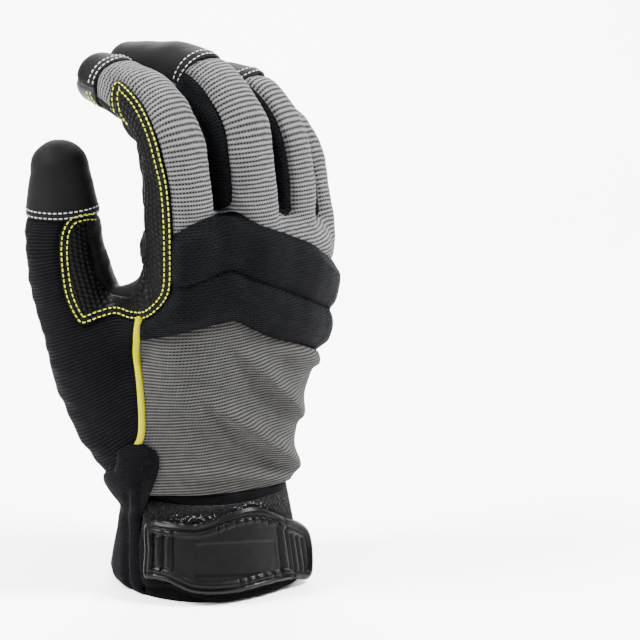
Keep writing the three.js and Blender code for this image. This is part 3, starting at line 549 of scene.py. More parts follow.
@dataclass
class Cloth:
    """Triangles of the glove's surface, with what is known of each point."""

    points: Array
    normals: Array
    faces: Array
    facts: dict[str, Array]

    def pick(self, faces: Array) -> "Cloth":
        """The cloth of some of its faces only."""
        used, numbers = np.unique(faces, return_inverse=True)
        return Cloth(self.points[used], self.normals[used], numbers.reshape(-1, 3),
                     {key: values[used] for key, values in self.facts.items()})

    def split(self, inside: Array) -> tuple["Cloth", "Cloth"]:
        """Cuts the cloth along the line where a value of its points is 0.

        Args:
            inside: a value for each point, positive on the side that is cut out.

        Returns:
            The part where the value is positive, and the rest.
        """
        value = np.where(np.abs(inside) < 1e-4, 1e-4, inside)
        f = self.faces
        positive = value[f] > 0
        ones = positive.sum(1)
        mixed = f[(ones == 1) | (ones == 2)]
        flags = value[mixed] > 0
        alone = np.where(flags.sum(1) == 1, flags.argmax(1), (~flags).argmax(1))
        rows = np.arange(len(mixed))
        a, b, c = (mixed[rows, (alone + i) % 3] for i in range(3))
        edges = np.sort(np.concatenate([np.stack([a, b], 1), np.stack([a, c], 1)]), 1)
        keys, numbers = np.unique(edges[:, 0] * len(value) + edges[:, 1], return_inverse=True)
        lo, hi = keys // len(value), keys % len(value)
        share = value[lo] / (value[lo] - value[hi])

        def grown(values: Array) -> Array:
            """The values with those of the new points on the line."""
            t = share[:, None] if values.ndim == 2 else share
            return np.concatenate([values, values[lo] * (1 - t) + values[hi] * t])

        new = len(value) + numbers.reshape(-1)
        ab, ac = new[:len(mixed)], new[len(mixed):]
        tip = np.stack([a, ab, ac], 1)
        base = np.concatenate([np.stack([ab, b, c], 1), np.stack([ab, c, ac], 1)])
        alone_in = value[a] > 0
        twice = np.concatenate([alone_in, alone_in])
        whole = Cloth(grown(self.points), grown(self.normals), f, {k: grown(v) for k, v in self.facts.items()})
        kept = np.concatenate([f[ones == 3], tip[alone_in], base[~twice]])
        rest = np.concatenate([f[ones == 0], tip[~alone_in], base[twice]])
        return whole.pick(kept), whole.pick(rest)

    def edge_distance(self, reach: float = 6.0) -> Array:
        """How far each point lies from the cloth's edge, up to reach millimetres."""
        sides = np.concatenate([self.faces[:, [0, 1]], self.faces[:, [1, 2]], self.faces[:, [2, 0]]])
        ordered = np.sort(sides, 1)
        _, first, count = np.unique(ordered[:, 0] * len(self.points) + ordered[:, 1], return_index=True,
                                    return_counts=True)
        rim = ordered[first[count == 1]]
        a, b = self.points[rim[:, 0]], self.points[rim[:, 1]]
        tree = KDTree(len(a))
        for i, middle in enumerate((a + b) / 2):
            tree.insert(middle, i)
        tree.balance()
        result = np.full(len(self.points), reach)
        for i, point in enumerate(self.points):
            _, k, near = tree.find(point)
            if near is None or near > reach + 2:
                continue
            side = b[k] - a[k]
            t = np.clip((point - a[k]) @ side / max(side @ side, 1e-9), 0, 1)
            result[i] = min(reach, float(np.linalg.norm(point - a[k] - t * side)))
        result[np.unique(rim)] = 0
        return result

    def smoothed(self, values: Array, rounds: int) -> Array:
        """Values of the points, each drawn towards the mean of its neighbours some times."""
        pairs = np.concatenate([self.faces[:, [0, 1]], self.faces[:, [1, 2]], self.faces[:, [2, 0]]])
        count = len(self.points)
        share = np.maximum(np.bincount(pairs[:, 0], minlength=count) + np.bincount(pairs[:, 1], minlength=count), 1)
        for _ in range(rounds):
            total = np.bincount(pairs[:, 0], values[pairs[:, 1]], count)
            total += np.bincount(pairs[:, 1], values[pairs[:, 0]], count)
            values = 0.4 * values + 0.6 * total / share
        return values

    def plain(self) -> "Cloth":
        """The cloth with its ribs running round the hand alone."""
        return Cloth(self.points, self.normals, self.faces,
                     {**self.facts, "cloth_u": self.facts["hand_u"], "cloth_v": self.facts["hand_v"]})

    def inside(self, outline: Sequence[Sequence[float]], view: str = "back", steps: int = 4) -> Array:
        """How far each point lies inside an outline that is drawn in the back's view or the palm's."""
        seen = np.stack([self.facts[f"{view}_u"], self.facts[f"{view}_v"]], 1)
        return inside_by(smooth_line(outline, steps, closed=True), seen)

    def pushed(self, height: Array) -> "Cloth":
        """The cloth with each point moved out along its normal by height."""
        return Cloth(self.points + self.normals * height[:, None], self.normals, self.faces, self.facts)

    def largest(self, share: float = 0.02) -> "Cloth":
        """The cloth without the scraps that hang together in less than a share of all its faces."""
        label = np.arange(len(self.points))
        f = self.faces
        while True:
            low = label[f].min(1)
            new = label.copy()
            for i in range(3):
                np.minimum.at(new, f[:, i], low)
            new = new[new]
            if (new == label).all():
                break
            label = new
        count = np.bincount(label[f[:, 0]], minlength=len(label))
        return self.pick(f[count[label[f[:, 0]]] >= share * len(f)])

    def piece(self, name: str, thickness: float) -> bpy.types.Object:
        """Makes the cloth a Blender object with its real thickness, which rides on the glove's one body."""
        flat = np.stack([self.facts["cloth_u"], self.facts["cloth_v"]], 1)
        return finished(name, mesh_of(name, self.points, self.faces, flat), thickness)


def mesh_of(name: str, points: Array, faces: Array | list[Sequence[int]], flat: Array | None = None) -> bpy.types.Mesh:
    """Makes a mesh in metres.

    Args:
        name: the mesh's name.
        points: its points in millimetres.
        faces: its faces.
        flat: where each point lies in the cloth, in millimetres.

    Returns:
        The mesh, with a map of the cloth where flat is given.
    """
    mesh = bpy.data.meshes.new(name)
    mesh.from_pydata((points * MM).tolist(), [], faces if isinstance(faces, list) else faces.tolist())
    if flat is not None:
        layer = mesh.uv_layers.new(name="cloth")
        corner = np.empty(len(mesh.loops), np.int32)
        mesh.loops.foreach_get("vertex_index", corner)
        layer.data.foreach_set("uv", (flat[corner] * MAP).astype(np.float32).ravel())
    return mesh


def finished(name: str, mesh: bpy.types.Mesh, thickness: float = 0.0) -> bpy.types.Object:
    """Makes an object of a mesh, shades it smooth and lets it ride on the glove's one body.

    Args:
        name: the object's name.
        mesh: its mesh, in metres.
        thickness: how thick it is made under its face, in millimetres, or 0 where it is closed already.

    Returns:
        The object.
    """
    piece = bpy.data.objects.new(name, mesh)
    bpy.context.scene.collection.objects.link(piece)
    if thickness:
        shell = piece.modifiers.new("thickness", "SOLIDIFY")
        shell.thickness = thickness * MM
        shell.offset = -1
        shell.use_even_offset = False
        bpy.context.view_layer.objects.active = piece
        with bpy.context.temp_override(object=piece, active_object=piece):
            bpy.ops.object.modifier_apply(modifier=shell.name)
    piece.data.polygons.foreach_set("use_smooth", np.ones(len(piece.data.polygons), bool))
    piece.data.update()
    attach(piece, "root")
    return piece


def dressed(piece: bpy.types.Object, material: bpy.types.Material, slot: str, *nodes: str) -> bpy.types.Object:
    """Gives a piece its material and lets it stand for CAD nodes, whose parts it hides.

    Args:
        piece: the object.
        material: its material.
        slot: the record's name of the finish; not used.
        nodes: the CAD nodes that it replaces.

    Returns:
        The object.
    """
    piece.data.materials.clear()
    piece.data.materials.append(material)
    if nodes:
        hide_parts(*nodes)
    LOG.info("%s: %d faces, %s", piece.name, len(piece.data.polygons), material.name)
    return piece


def cloth_of(form: FormGrid, facts: Callable[[Array], dict[str, Array]]) -> Cloth:
    """Meshes a form as cloth.

    Args:
        form: the form.
        facts: works out what is known of points.

    Returns:
        Its whole surface, in triangles.
    """
    points, quads = form.surface()
    faces = np.concatenate([quads[:, [0, 1, 2]], quads[:, [0, 2, 3]]])
    return Cloth(points, unit(form.sample(points)[1]), faces, facts(points))


@dataclass
class Sewn:
    """The glove's cloth as it lies, and where each of its points is, for cutting panels and laying stitches."""

    form: FormGrid
    foot_radius: float = 3.6  # of the walls between fingers
    cloth: Cloth = field(init=False)

    def __post_init__(self) -> None:
        """Meshes the form and works out what is known of its points."""
        cloth = cloth_of(self.form, self._facts)
        for key in ("cloth_u", "cloth_v"):
            cloth.facts[key] = cloth.smoothed(cloth.facts[key], 24)
        x, y, z = cloth.points.T
        self.cloth = cloth.split(z - cuff_top(np.arctan2(y, x)) - 0.1)[0]

    @staticmethod
    def _facts(points: Array) -> dict[str, Array]:
        """What is known of points: where both views see them, and where they lie on each digit and in the cloth."""
        facts: dict[str, Array] = {}
        facts["back_u"], facts["back_v"] = BACK_VIEW.seen(points).T
        facts["palm_u"], facts["palm_v"] = PALM_VIEW.seen(points).T
        facts["hand"] = hand_distance(points)
        rows = smooth_line(HAND, 6)
        cx, cy = (np.interp(points[:, 2], rows[:, 0], rows[:, i]) for i in (1, 2))
        turn = np.arctan2(points[:, 0] - cx, -(points[:, 1] - cy))
        facts["hand_u"], facts["hand_v"] = turn * ROUND, points[:, 2] - 3.0 * np.cos(turn)

        def nearness(distance: Array) -> Array:
            """How much a part counts at points, by their distance from it."""
            return np.exp(-np.clip(distance, 0, 40) / 2.5)

        total = nearness(facts["hand"])
        u, v = total * (turn * 30), total * points[:, 2]
        for name, digit in DIGITS.items():
            s = digit.spots(points)
            facts.update({f"{name}_d": s.distance, f"{name}_row": s.row, f"{name}_arc": s.arc,
                          f"{name}_a": s.across, f"{name}_b": s.front, f"{name}_deep": s.deep,
                          f"{name}_wide": s.wide})
            if name == "web":
                continue
            base = 1.5 if name != "thumb" else 2.0  # the row where the digit's ribs take over from the hand's
            weight = nearness(s.distance) * np.clip(s.row - 0.4, 0, 1)
            middle = read_at(base, np.arange(len(digit.rows)), np.array(digit.rows))
            u += weight * (middle[0] * 1.1 + np.arctan2(s.across, -s.front) * (s.wide + s.deep) / 2)
            v += weight * (s.arc - digit.arc_at(base) + middle[2])
            total += weight
        facts["cloth_u"], facts["cloth_v"] = u / total, v / total
        return facts

    def palm_side(self) -> Array:
        """How far the cloth's points lie on the palm's side of the seam along the hand's edge and the digits."""
        c, f = self.cloth, self.cloth.facts
        x, y, z = c.points.T
        table = np.array(SIDE_SEAM, float)
        little_y, mid_x, mid_y, fork_x, fork_y, thumb_x, thumb_y = (
            np.interp(z, table[:, 0], table[:, i]) for i in range(1, 8))
        far = 200.0
        right = BACK_VIEW.axes()[0]
        xs = np.stack([thumb_x - right[0] * far, thumb_x, fork_x, mid_x, np.full_like(x, far)])
        ys = np.stack([thumb_y - right[1] * far, thumb_y, fork_y, mid_y, little_y])
        line = np.full_like(x, 1e3)
        for i in range(4):
            t = (x - xs[i]) / np.maximum(xs[i + 1] - xs[i], 1e-6)
            here = (t >= 0) & (t <= 1)
            line[here] = (ys[i] + t * (ys[i + 1] - ys[i]))[here]
        # Over the table's top the seam leans to the back between the fingers, and away from it at the hand's edges.
        lean = np.interp(x, (-24, -18, 28, 38), (0.4, -0.5, -0.5, 0.4)) * np.maximum(z - SIDE_SEAM[-1][0], 0)
        side = np.minimum((y - line - np.maximum(lean, -4.5)) * 0.85, 143 - z)
        for name in FINGERS:
            front = np.minimum((f[f"{name}_b"] - FRONT_EDGE) * f[f"{name}_deep"], (f[f"{name}_row"] - 1.2) * ROW)
            front = np.minimum(front, (1.28 - np.abs(f[f"{name}_a"])) * 10)
            side = np.maximum(side, np.where(f[f"{name}_d"] < SKIN, front, OUTSIDE))
        thumb = np.minimum((f["thumb_b"] - 0.25) * f["thumb_deep"], (f["thumb_row"] - 5.2) * ROW)
        return np.maximum(side, np.where(f["thumb_d"] < SKIN, thumb, OUTSIDE))

    def cap(self, name: str, bow: float = 1.2) -> Array:
        """How far the cloth's points lie past the seam of a digit's fingertip cap, which bows by some millimetres."""
        f = self.cloth.facts
        beyond = f[f"{name}_arc"] - DIGITS[name].seam() + bow * (f[f"{name}_b"] ** 2 - 0.5)
        return np.where(f[f"{name}_d"] < SKIN, beyond, OUTSIDE)

    def fork(self, left: str, right: str, left_row: float, right_row: float, reach: float, across: float) -> Array:
        """How far the cloth's points lie inside the wall between two fingers, whose foot is round."""
        f = self.cloth.facts
        found = np.full(len(self.cloth.points), OUTSIDE)
        radius = self.foot_radius
        for name, row, sign, back, inner in (
                (left, left_row, 1, BACK_EDGE, 0.0), (right, right_row, -1, reach, across)):
            b, deep = f[f"{name}_b"], f[f"{name}_deep"]
            wall = np.minimum((b - back) * deep, (f[f"{name}_a"] * sign - abs(inner)) * f[f"{name}_wide"])
            foot = (f[f"{name}_row"] - row) * ROW
            wall = radius - np.hypot(np.maximum(radius - wall, 0), np.maximum(radius - foot, 0))
            wall = np.minimum(wall, (FRONT_EDGE - b) * deep)
            found = np.maximum(found, np.where(f[f"{name}_d"] < 2.0, wall, OUTSIDE))
        return found

    def cut(self, inside: Array, share: float = 0.02) -> Cloth:
        """Cuts a panel from what is left of the cloth, and leaves the rest.

        Args:
            inside: how far each of its points lies inside the panel.
            share: scraps with less than this share of the panel's faces are dropped.

        Returns:
            The panel.
        """
        panel, self.cloth = self.cloth.split(inside)
        return panel.largest(share)


# Finishes


@dataclass(frozen=True)
class Socket:
    """One named input or output of a node group."""

    name: str
    kind: str = "NodeSocketFloat"
    value: float | tuple[float, ...] | None = None
    out: bool = False


class Effect:
    """A shader node group that several materials use, built once."""

    def __init__(self, name: str, sockets: Sequence[Socket]) -> None:
        """Makes an empty group with its sockets.

        Args:
            name: the group's name.
            sockets: its inputs and outputs.
        """
        self.tree = bpy.data.node_groups.new(name, "ShaderNodeTree")
        for socket in sockets:
            made = self.tree.interface.new_socket(
                socket.name, in_out="OUTPUT" if socket.out else "INPUT", socket_type=socket.kind)
            if socket.value is not None:
                made.default_value = socket.value
        self.inputs = self.tree.nodes.new("NodeGroupInput")
        self.outputs = self.tree.nodes.new("NodeGroupOutput")

    def node(self, kind: str, **values: object) -> bpy.types.Node:
        """A new node of the group, with its properties set."""
        return add_node(self.tree, kind, **values)

    def link(self, start: bpy.types.NodeSocket, end: bpy.types.NodeSocket) -> None:
        """Joins two sockets."""
        self.tree.links.new(start, end)

    def math(self, operation: str, *values: bpy.types.NodeSocket | float) -> bpy.types.NodeSocket:
        """The result of a sum, product or other operation on sockets and numbers."""
        return calculated(self.tree, operation, *values)

    def flat(self) -> list[bpy.types.NodeSocket]:
        """The cloth's own two coordinates, in millimetres."""
        split = self.node("SeparateXYZ")
        self.link(self.node("UVMap", uv_map="cloth").outputs[0], split.inputs[0])
        return [self.math("MULTIPLY", split.outputs[i], 1 / MAP) for i in (0, 1)]

    def spread(self, kind: str, scale: bpy.types.NodeSocket | float, output: str, **inputs: float) -> \
            bpy.types.NodeSocket:
        """Spreads a procedural texture through the object.

        Args:
            kind: the texture node's type.
            scale: its scale, as a socket or number.
            output: the output that is wanted.
            inputs: other plain inputs.

        Returns:
            That output.
        """
        node = self.node(kind)
        for key, value in inputs.items():
            node.inputs[key].default_value = value
        if isinstance(scale, bpy.types.NodeSocket):
            self.link(scale, node.inputs["Scale"])
        else:
            node.inputs["Scale"].default_value = scale
        self.link(self.node("TexCoord").outputs["Object"], node.inputs["Vector"])
        return node.outputs[output]


def add_node(tree: bpy.types.NodeTree, kind: str, **values: object) -> bpy.types.Node:
    """Adds a node to a tree.

    Args:
        tree: the tree.
        kind: the node's type, without its first word.
        values: properties to set on it.

    Returns:
        The node.
    """
    node = tree.nodes.new("ShaderNode" + kind)
    for key, value in values.items():
        setattr(node, key, value)
    return node


def calculated(tree: bpy.types.NodeTree, operation: str,
               *values: bpy.types.NodeSocket | float) -> bpy.types.NodeSocket:
    """Adds a Math node.

    Args:
        tree: the tree that it goes into.
        operation: its operation.
        values: its inputs, as sockets or numbers.

    Returns:
        Its output.
    """
    node = add_node(tree, "Math", operation=operation)
    for socket, value in zip(node.inputs, values):
        if isinstance(value, bpy.types.NodeSocket):
            tree.links.new(value, socket)
        else:
            socket.default_value = value
    return node.outputs[0]


def ribbed_effect() -> Effect:
    """Knit in cross ribs: a height and a mask of the gaps, where shade is painted, from the cloth's own coordinates."""
    effect = Effect("knit ribs", (
        Socket("Rib", value=1.25), Socket("Column", value=0.6), Socket("Column depth", value=0.35), Socket("Slant"),
        Socket("Height", out=True), Socket("Gap", out=True), Socket("Mottle", out=True)))
    get, put = effect.inputs.outputs, effect.outputs.inputs
    wander = effect.spread("TexNoise", 90, "Fac", Detail=2)
    shift = effect.math("MULTIPLY", effect.math("SUBTRACT", wander, 0.5), 0.3)
    across, up = effect.flat()
    along = effect.math("ADD", up, shift)

    def wave(place: bpy.types.NodeSocket, pitch: str) -> bpy.types.NodeSocket:
        """A wave from 0 to 1 along a place, with a named pitch."""
        turn = effect.math("MULTIPLY", effect.math("DIVIDE", place, get[pitch]), math.tau)
        return effect.math("MULTIPLY_ADD", effect.math("SINE", turn), 0.5, 0.5)

    rib = wave(along, "Rib")
    column = wave(effect.math("ADD", across, effect.math("MULTIPLY_ADD", along, get["Slant"], shift)), "Column")
    crossed = effect.math("MULTIPLY", column, get["Column depth"])
    effect.link(effect.math("MULTIPLY_ADD", crossed, 0.6, rib), put["Height"])
    # The gap mask is highest in the grooves between ribs and columns, where the knit's colour is darkened as painted
    # shade.
    gap = effect.math("MULTIPLY", effect.math("SUBTRACT", 1.0, rib), effect.math("SUBTRACT", 1.25, crossed))
    effect.link(effect.math("MULTIPLY_ADD", effect.math("MULTIPLY", crossed, rib), 0.5, gap), put["Gap"])
    effect.link(effect.spread("TexNoise", 420, "Fac", Detail=3), put["Mottle"])
    return effect


def grain_effect() -> Effect:
    """Grain of leather or rubber: close cells with a slow drift of tone."""
    effect = Effect("grain", (
        Socket("Cell", value=900.0), Socket("Drift", value=40.0),
        Socket("Height", out=True), Socket("Tone", out=True)))
    get, put = effect.inputs.outputs, effect.outputs.inputs
    cells = effect.spread("TexVoronoi", get["Cell"], "Distance")
    fine = effect.spread("TexNoise", effect.math("MULTIPLY", get["Cell"], 0.35), "Fac", Detail=5)
    effect.link(effect.math("MULTIPLY_ADD", cells, 0.7, fine), put["Height"])
    effect.link(effect.spread("TexNoise", get["Drift"], "Fac", Detail=4), put["Tone"])
    return effect


def dimple_effect() -> Effect:
    """Close moulded dimples in staggered rows, from the cloth's own coordinates."""
    effect = Effect("dimples", (Socket("Pitch", value=1.9), Socket("Height", out=True)))
    get, put = effect.inputs.outputs, effect.outputs.inputs
    u, v = effect.flat()
    waves = []
    for a in np.radians((0.0, 60.0, 120.0)):
        way = effect.math("ADD", effect.math("MULTIPLY", u, math.cos(a)), effect.math("MULTIPLY", v, math.sin(a)))
        turn = effect.math("MULTIPLY", effect.math("DIVIDE", way, get["Pitch"]), math.tau / math.cos(math.pi / 6))
        waves.append(effect.math("COSINE", turn))
    total = effect.math("ADD", effect.math("ADD", waves[0], waves[1]), waves[2])
    effect.link(effect.math("MULTIPLY_ADD", total, 0.22, 0.34), put["Height"])
    return effect


class Finishes:
    """Builds the glove's materials. Effects that several use are node groups, made once."""

    def __init__(self) -> None:
        """Makes the shared effects."""
        self.ribs = ribbed_effect()
        self.grain = grain_effect()
        self.dimples = dimple_effect()
        self.made: dict[str, bpy.types.Material] = {}

    def _start(self, name: str, roughness: float, specular: float, sheen: float) -> bpy.types.NodeTree:
        """The nodes of a new material, with the plain values of its shader set on the shader itself."""
        material = self.made[name] = bpy.data.materials.new(name)
        material.use_nodes = True
        shader = material.node_tree.nodes["Principled BSDF"]
        for key, value in (("Roughness", roughness), ("Specular IOR Level", specular), ("Sheen Weight", sheen),
                           ("Sheen Roughness", 0.5)):
            shader.inputs[key].default_value = value
        return material.node_tree

    @staticmethod
    def _group(tree: bpy.types.NodeTree, effect: Effect, **values: float) -> dict[str, bpy.types.NodeSocket]:
        """Places a shared effect in a material with its own values, and gives its outputs."""
        node = add_node(tree, "Group", node_tree=effect.tree)
        for key, value in values.items():
            node.inputs[key.replace("_", " ")].default_value = value
        return dict(node.outputs.items())

    @staticmethod
    def _mixed(tree: bpy.types.NodeTree, share: bpy.types.NodeSocket, low: Sequence[float],
               high: Sequence[float]) -> bpy.types.NodeSocket:
        """A colour between two, by share."""
        mix = add_node(tree, "Mix", data_type="RGBA")
        mix.inputs["A"].default_value = (*low, 1)
        mix.inputs["B"].default_value = (*high, 1)
        tree.links.new(share, mix.inputs["Factor"])
        return mix.outputs["Result"]

    def _finish(self, name: str, colour: bpy.types.NodeSocket, rough: bpy.types.NodeSocket,
                height: bpy.types.NodeSocket, depth: float, strength: float = 1.0) -> bpy.types.Material:
        """Feeds a material's shader.

        Args:
            name: the material's name.
            colour: its base colour.
            rough: its roughness.
            height: the height of its bump.
            depth: what a height of 1 stands for, in millimetres.
            strength: the bump's strength.

        Returns:
            The material.
        """
        tree = self.made[name].node_tree
        shader = tree.nodes["Principled BSDF"]
        bump = add_node(tree, "Bump")
        bump.inputs["Distance"].default_value = depth * MM
        bump.inputs["Strength"].default_value = strength
        for start, end in ((colour, shader.inputs["Base Color"]), (rough, shader.inputs["Roughness"]),
                           (height, bump.inputs["Height"]), (bump.outputs[0], shader.inputs["Normal"])):
            tree.links.new(start, end)
        return self.made[name]

    def knit(self, spec: "Knit") -> bpy.types.Material:
        """Makes a ribbed knit.

        Args:
            spec: its colours and sizes.

        Returns:
            The material.
        """
        if spec.name in self.made:
            return self.made[spec.name]
        tree = self._start(spec.name, 0.92, 0.025, spec.sheen)
        ribs = self._group(tree, self.ribs, Rib=spec.rib, Column=spec.column, Column_depth=spec.column_depth,
                           Slant=spec.slant)
        tone = add_node(tree, "MapRange")
        tone.inputs["To Min"].default_value, tone.inputs["To Max"].default_value = spec.mottle
        mottle = add_node(tree, "Mix", data_type="RGBA", blend_type="MULTIPLY")
        mottle.inputs["Factor"].default_value = 1.0
        tree.links.new(ribs["Mottle"], tone.inputs["Value"])
        # The colour falls from the thread's to the gap colour, painted shade, in the grooves between ribs.
        tree.links.new(self._mixed(tree, ribs["Gap"], spec.thread, spec.gap), mottle.inputs["A"])
        tree.links.new(tone.outputs[0], mottle.inputs["B"])
        rough = calculated(tree, "MULTIPLY_ADD", ribs["Gap"], 0.12, 0.82)
        return self._finish(spec.name, mottle.outputs["Result"], rough, ribs["Height"], spec.depth)

    def leather(self, spec: "Leather") -> bpy.types.Material:
        """Makes a synthetic leather, a rubber or another material with grain, dimpled where it has a pitch, with
        painted shade in the hollows.

        Args:
            spec: its colours and sizes.

        Returns:
            The material.
        """
        if spec.name in self.made:
            return self.made[spec.name]
        tree = self._start(spec.name, spec.roughness, spec.specular, spec.sheen)
        grain = self._group(tree, self.grain, Cell=spec.cell, Drift=spec.drift)
        share, height, strength = grain["Tone"], grain["Height"], 0.8
        # Where it is dimpled, its colour follows the dimples: the hollows take the dark tone as painted shade.
        if spec.pitch:
            height, strength = self._group(tree, self.dimples, Pitch=spec.pitch)["Height"], 1.0
            share = calculated(tree, "MULTIPLY", height, 0.9)
        rough = calculated(tree, "MULTIPLY_ADD", grain["Tone"], spec.uneven, spec.roughness - spec.uneven / 2)
        colour = self._mixed(tree, share, spec.dark, spec.light)
        return self._finish(spec.name, colour, rough, height, spec.depth, strength)


@dataclass(frozen=True)
class Knit:
    """A ribbed knit: thread colour, gap colour that is painted shade in the grooves, pitch of ribs and columns, and
    depth, in millimetres.
    """

    name: str
    thread: tuple[float, float, float]
    gap: tuple[float, float, float]
    rib: float = 1.25
    column: float = 0.9
    column_depth: float = 0.35
    depth: float = 0.3
    sheen: float = 0.0
    slant: float = 0.0
    mottle: tuple[float, float] = (0.72, 1.28)


@dataclass(frozen=True)
class Leather:
    """A grained finish: two tones, roughness, grain per metre, and depth and dimples' pitch in millimetres."""

    name: str
    dark: tuple[float, float, float]
    light: tuple[float, float, float]
    roughness: float = 0.6
    specular: float = 0.4
    uneven: float = 0.15
    cell: float = 1100.0
    drift: float = 45.0
    depth: float = 0.06
    sheen: float = 0.0
    pitch: float = 0.0


# Each knit's second colour is painted shade, darkening the grooves between its ribs.
GREY_KNIT = Knit("grey ribbed knit", (0.106, 0.103, 0.105), (0.004, 0.004, 0.0043), 1.36, 1.1, 0.55, 0.18, 0.015)
# The loose knit above the cuff: its finer ribs are its own, and its thread, darker than the fingers' grey, is painted
# shade.
SHADED_LOWER_KNIT = Knit("fine grey knit", (0.047, 0.046, 0.044), (0.004, 0.004, 0.004), 1.08, 1.0, 0.6, 0.16, 0.01)
PAD_KNIT = Knit("black twill knit", (0.0026, 0.0029, 0.0034), (0.0006, 0.0007, 0.0009), 1.0, 1.1, 0.9, 0.16, 0.004,
                0.55)
RIBBED_KNIT = Knit("black ribbed knit", (0.0032, 0.0034, 0.0038), (0.0008, 0.0008, 0.001), 1.1, 0.9, 0.3, 0.13, 0.004)
ELASTIC = Knit("woven elastic", (0.0020, 0.0022, 0.0025), (0.0008, 0.0008, 0.0010), 0.8, 1.2, 0.5, 0.09, 0.005)
PALM_LEATHER = Leather("palm synthetic leather", (0.0020, 0.0021, 0.0020), (0.0044, 0.0047, 0.0044), 0.68, 0.035)
GRIP_LEATHER = Leather("smooth fingertip leather", (0.0070, 0.0077, 0.0086), (0.0125, 0.0134, 0.0150), 0.5, 0.1, 0.12)
# The dimpled grip's dark tone is painted shade in the hollows of its dimples.
DOTTED_GRIP = Leather("dimpled grip", (0.0004, 0.0004, 0.0004), (0.0038, 0.0038, 0.0040), 0.5, 0.035, 0.2, depth=0.4,
                      pitch=1.9)
LOOP_PILE = Leather("loop pile", (0.00055, 0.00066, 0.00072), (0.00605, 0.00638, 0.00688), 0.95, 0.05, 0.15, 1500.0,
                    600.0, 0.9, 0.03)
TAB_RUBBER = Leather("moulded rubber", (0.0010, 0.0011, 0.0012), (0.0017, 0.0018, 0.0020), 0.34, 0.06, 0.1, 1400.0,
                     70.0, 0.02)
YELLOW_PIPING = Leather("yellow piping", (0.20, 0.19, 0.0001), (0.245, 0.232, 0.0002), 0.5, 0.02, 0.1, 900.0, 60.0,
                        0.04)
WHITE_THREAD = Leather("white thread", (0.20, 0.20, 0.20), (0.36, 0.36, 0.36), 0.6, 0.2, 0.1, 3000.0, 200.0, 0.05)
YELLOW_THREAD = Leather("yellow thread", (0.28, 0.33, 0.006), (0.42, 0.46, 0.015), 0.6, 0.12, 0.1, 3000.0, 200.0,
                        0.05)


def ripples(points: Array, length: float, seed: int, waves: int = 10) -> Array:
    """Gentle unevenness of cloth.

    Args:
        points: an (n, 3) array in millimetres.
        length: the typical distance between crests, in millimetres.
        seed: number that the pattern is drawn from.
        waves: how many waves are added up.

    Returns:
        A height for each point, mostly between -1 and 1.
    """
    draw = np.random.default_rng(seed)
    total = np.zeros(len(points))
    for _ in range(waves):
        way = draw.normal(size=3)
        way *= math.tau / (length * draw.uniform(0.6, 1.6)) / np.linalg.norm(way)
        total += np.sin(points @ way + draw.uniform(0, math.tau))
    return total / math.sqrt(waves / 2) / 1.6


def bell(distance: Array, width: float) -> Array:
    """1 at distance 0, falling to nothing past width."""
    return np.exp(-((distance / width) ** 2))


def eased(value: Array, low: float, high: float) -> Array:
    """0 below low, 1 above high, and a smooth rise between."""
    t = np.clip((value - low) / (high - low), 0, 1)
    return t * t * (3 - 2 * t)


@dataclass
class Workshop:
    """What the sub-assemblies share: the cloth, the materials, and the finished outer faces for laying stitches."""

    sewn: Sewn
    finishes: Finishes
    outer: list[tuple[Array, Array]] = field(default_factory=list)

    def sew(self, name: str, cloth: Cloth, height: Array, material: bpy.types.Material, slot: str, *nodes: str,
            thickness: float = WALL, roll: float = 0.75, roll_width: float = 1.3) -> bpy.types.Object:
        """Shapes a panel, gives it its thickness and dresses it.

        Args:
            name: the piece's name.
            cloth: the panel as it was cut.
            height: how far each of its points is pushed out.
            material: its material.
            slot: the record's name of the finish.
            nodes: the CAD nodes that it replaces.
            thickness: its thickness in millimetres.
            roll: how deep its edges are drawn in to the seam.
            roll_width: how wide they are rounded.

        Returns:
            The piece.
        """
        edge = cloth.edge_distance()
        shaped = cloth.pushed(height - roll * bell(edge, roll_width))
        self.outer.append((shaped.points, shaped.faces))
        return dressed(shaped.piece(name, thickness), material, slot, *nodes)

    def tree(self) -> BVHTree:
        """All the finished outer faces, for casting rays at."""
        points, faces, start = [], [], 0
        for p, f in self.outer:
            points.append(p)
            faces.append(f + start)
            start += len(p)
        return BVHTree.FromPolygons(np.concatenate(points).tolist(), np.concatenate(faces).tolist())


@dataclass
class Fingers:
    """Fingertip caps, the smooth pads on the fronts of three of them, and the walls between the fingers."""

    shop: Workshop
    touch_edge: float = 0.1  # where the smooth pad begins, in half depths to the palm
    touch_start: float = 1.6  # and how far past the cap's seam
    touch_lift: float = 0.25
    cap_lift: float = 0.35

    def build(self) -> None:
        """Cuts and dresses the caps, their pads and the walls between the fingers."""
        sewn, finishes = self.shop.sewn, self.shop.finishes
        leather = finishes.leather(PALM_LEATHER)
        smooth = finishes.leather(GRIP_LEATHER)
        for name in CAPPED:
            cap = sewn.cut(sewn.cap(name))
            if name in TOUCHING:
                f = cap.facts
                past = f[f"{name}_arc"] - DIGITS[name].seam() - self.touch_start
                touch, cap = cap.split(np.minimum((f[f"{name}_b"] - self.touch_edge) * f[f"{name}_deep"], past))
                touch = touch.largest()
                self.shop.sew(f"{name}_touch_pad", touch, np.full(len(touch.points), self.touch_lift), smooth,
                              "grip_leather", f"{name}_touch", roll=0.5, roll_width=1.0)
            cap = cap.largest()
            lift = self.cap_lift + 0.25 * ripples(cap.points, 14, 5)
            self.shop.sew(f"{name}_fingertip", cap, lift, leather, "palm_leather", f"{name}_cap", roll=0.6,
                          roll_width=0.9)
        for i, limits in enumerate(FORKS, 1):
            wall = sewn.cut(sewn.fork(*limits), 0.1)
            self.shop.sew(f"finger_wall_{i}", wall, 1.0 / i + 0.2 * ripples(wall.points, 9, 20 + i),
                          finishes.knit(PAD_KNIT), "black_knit", f"fourchette_{i}")


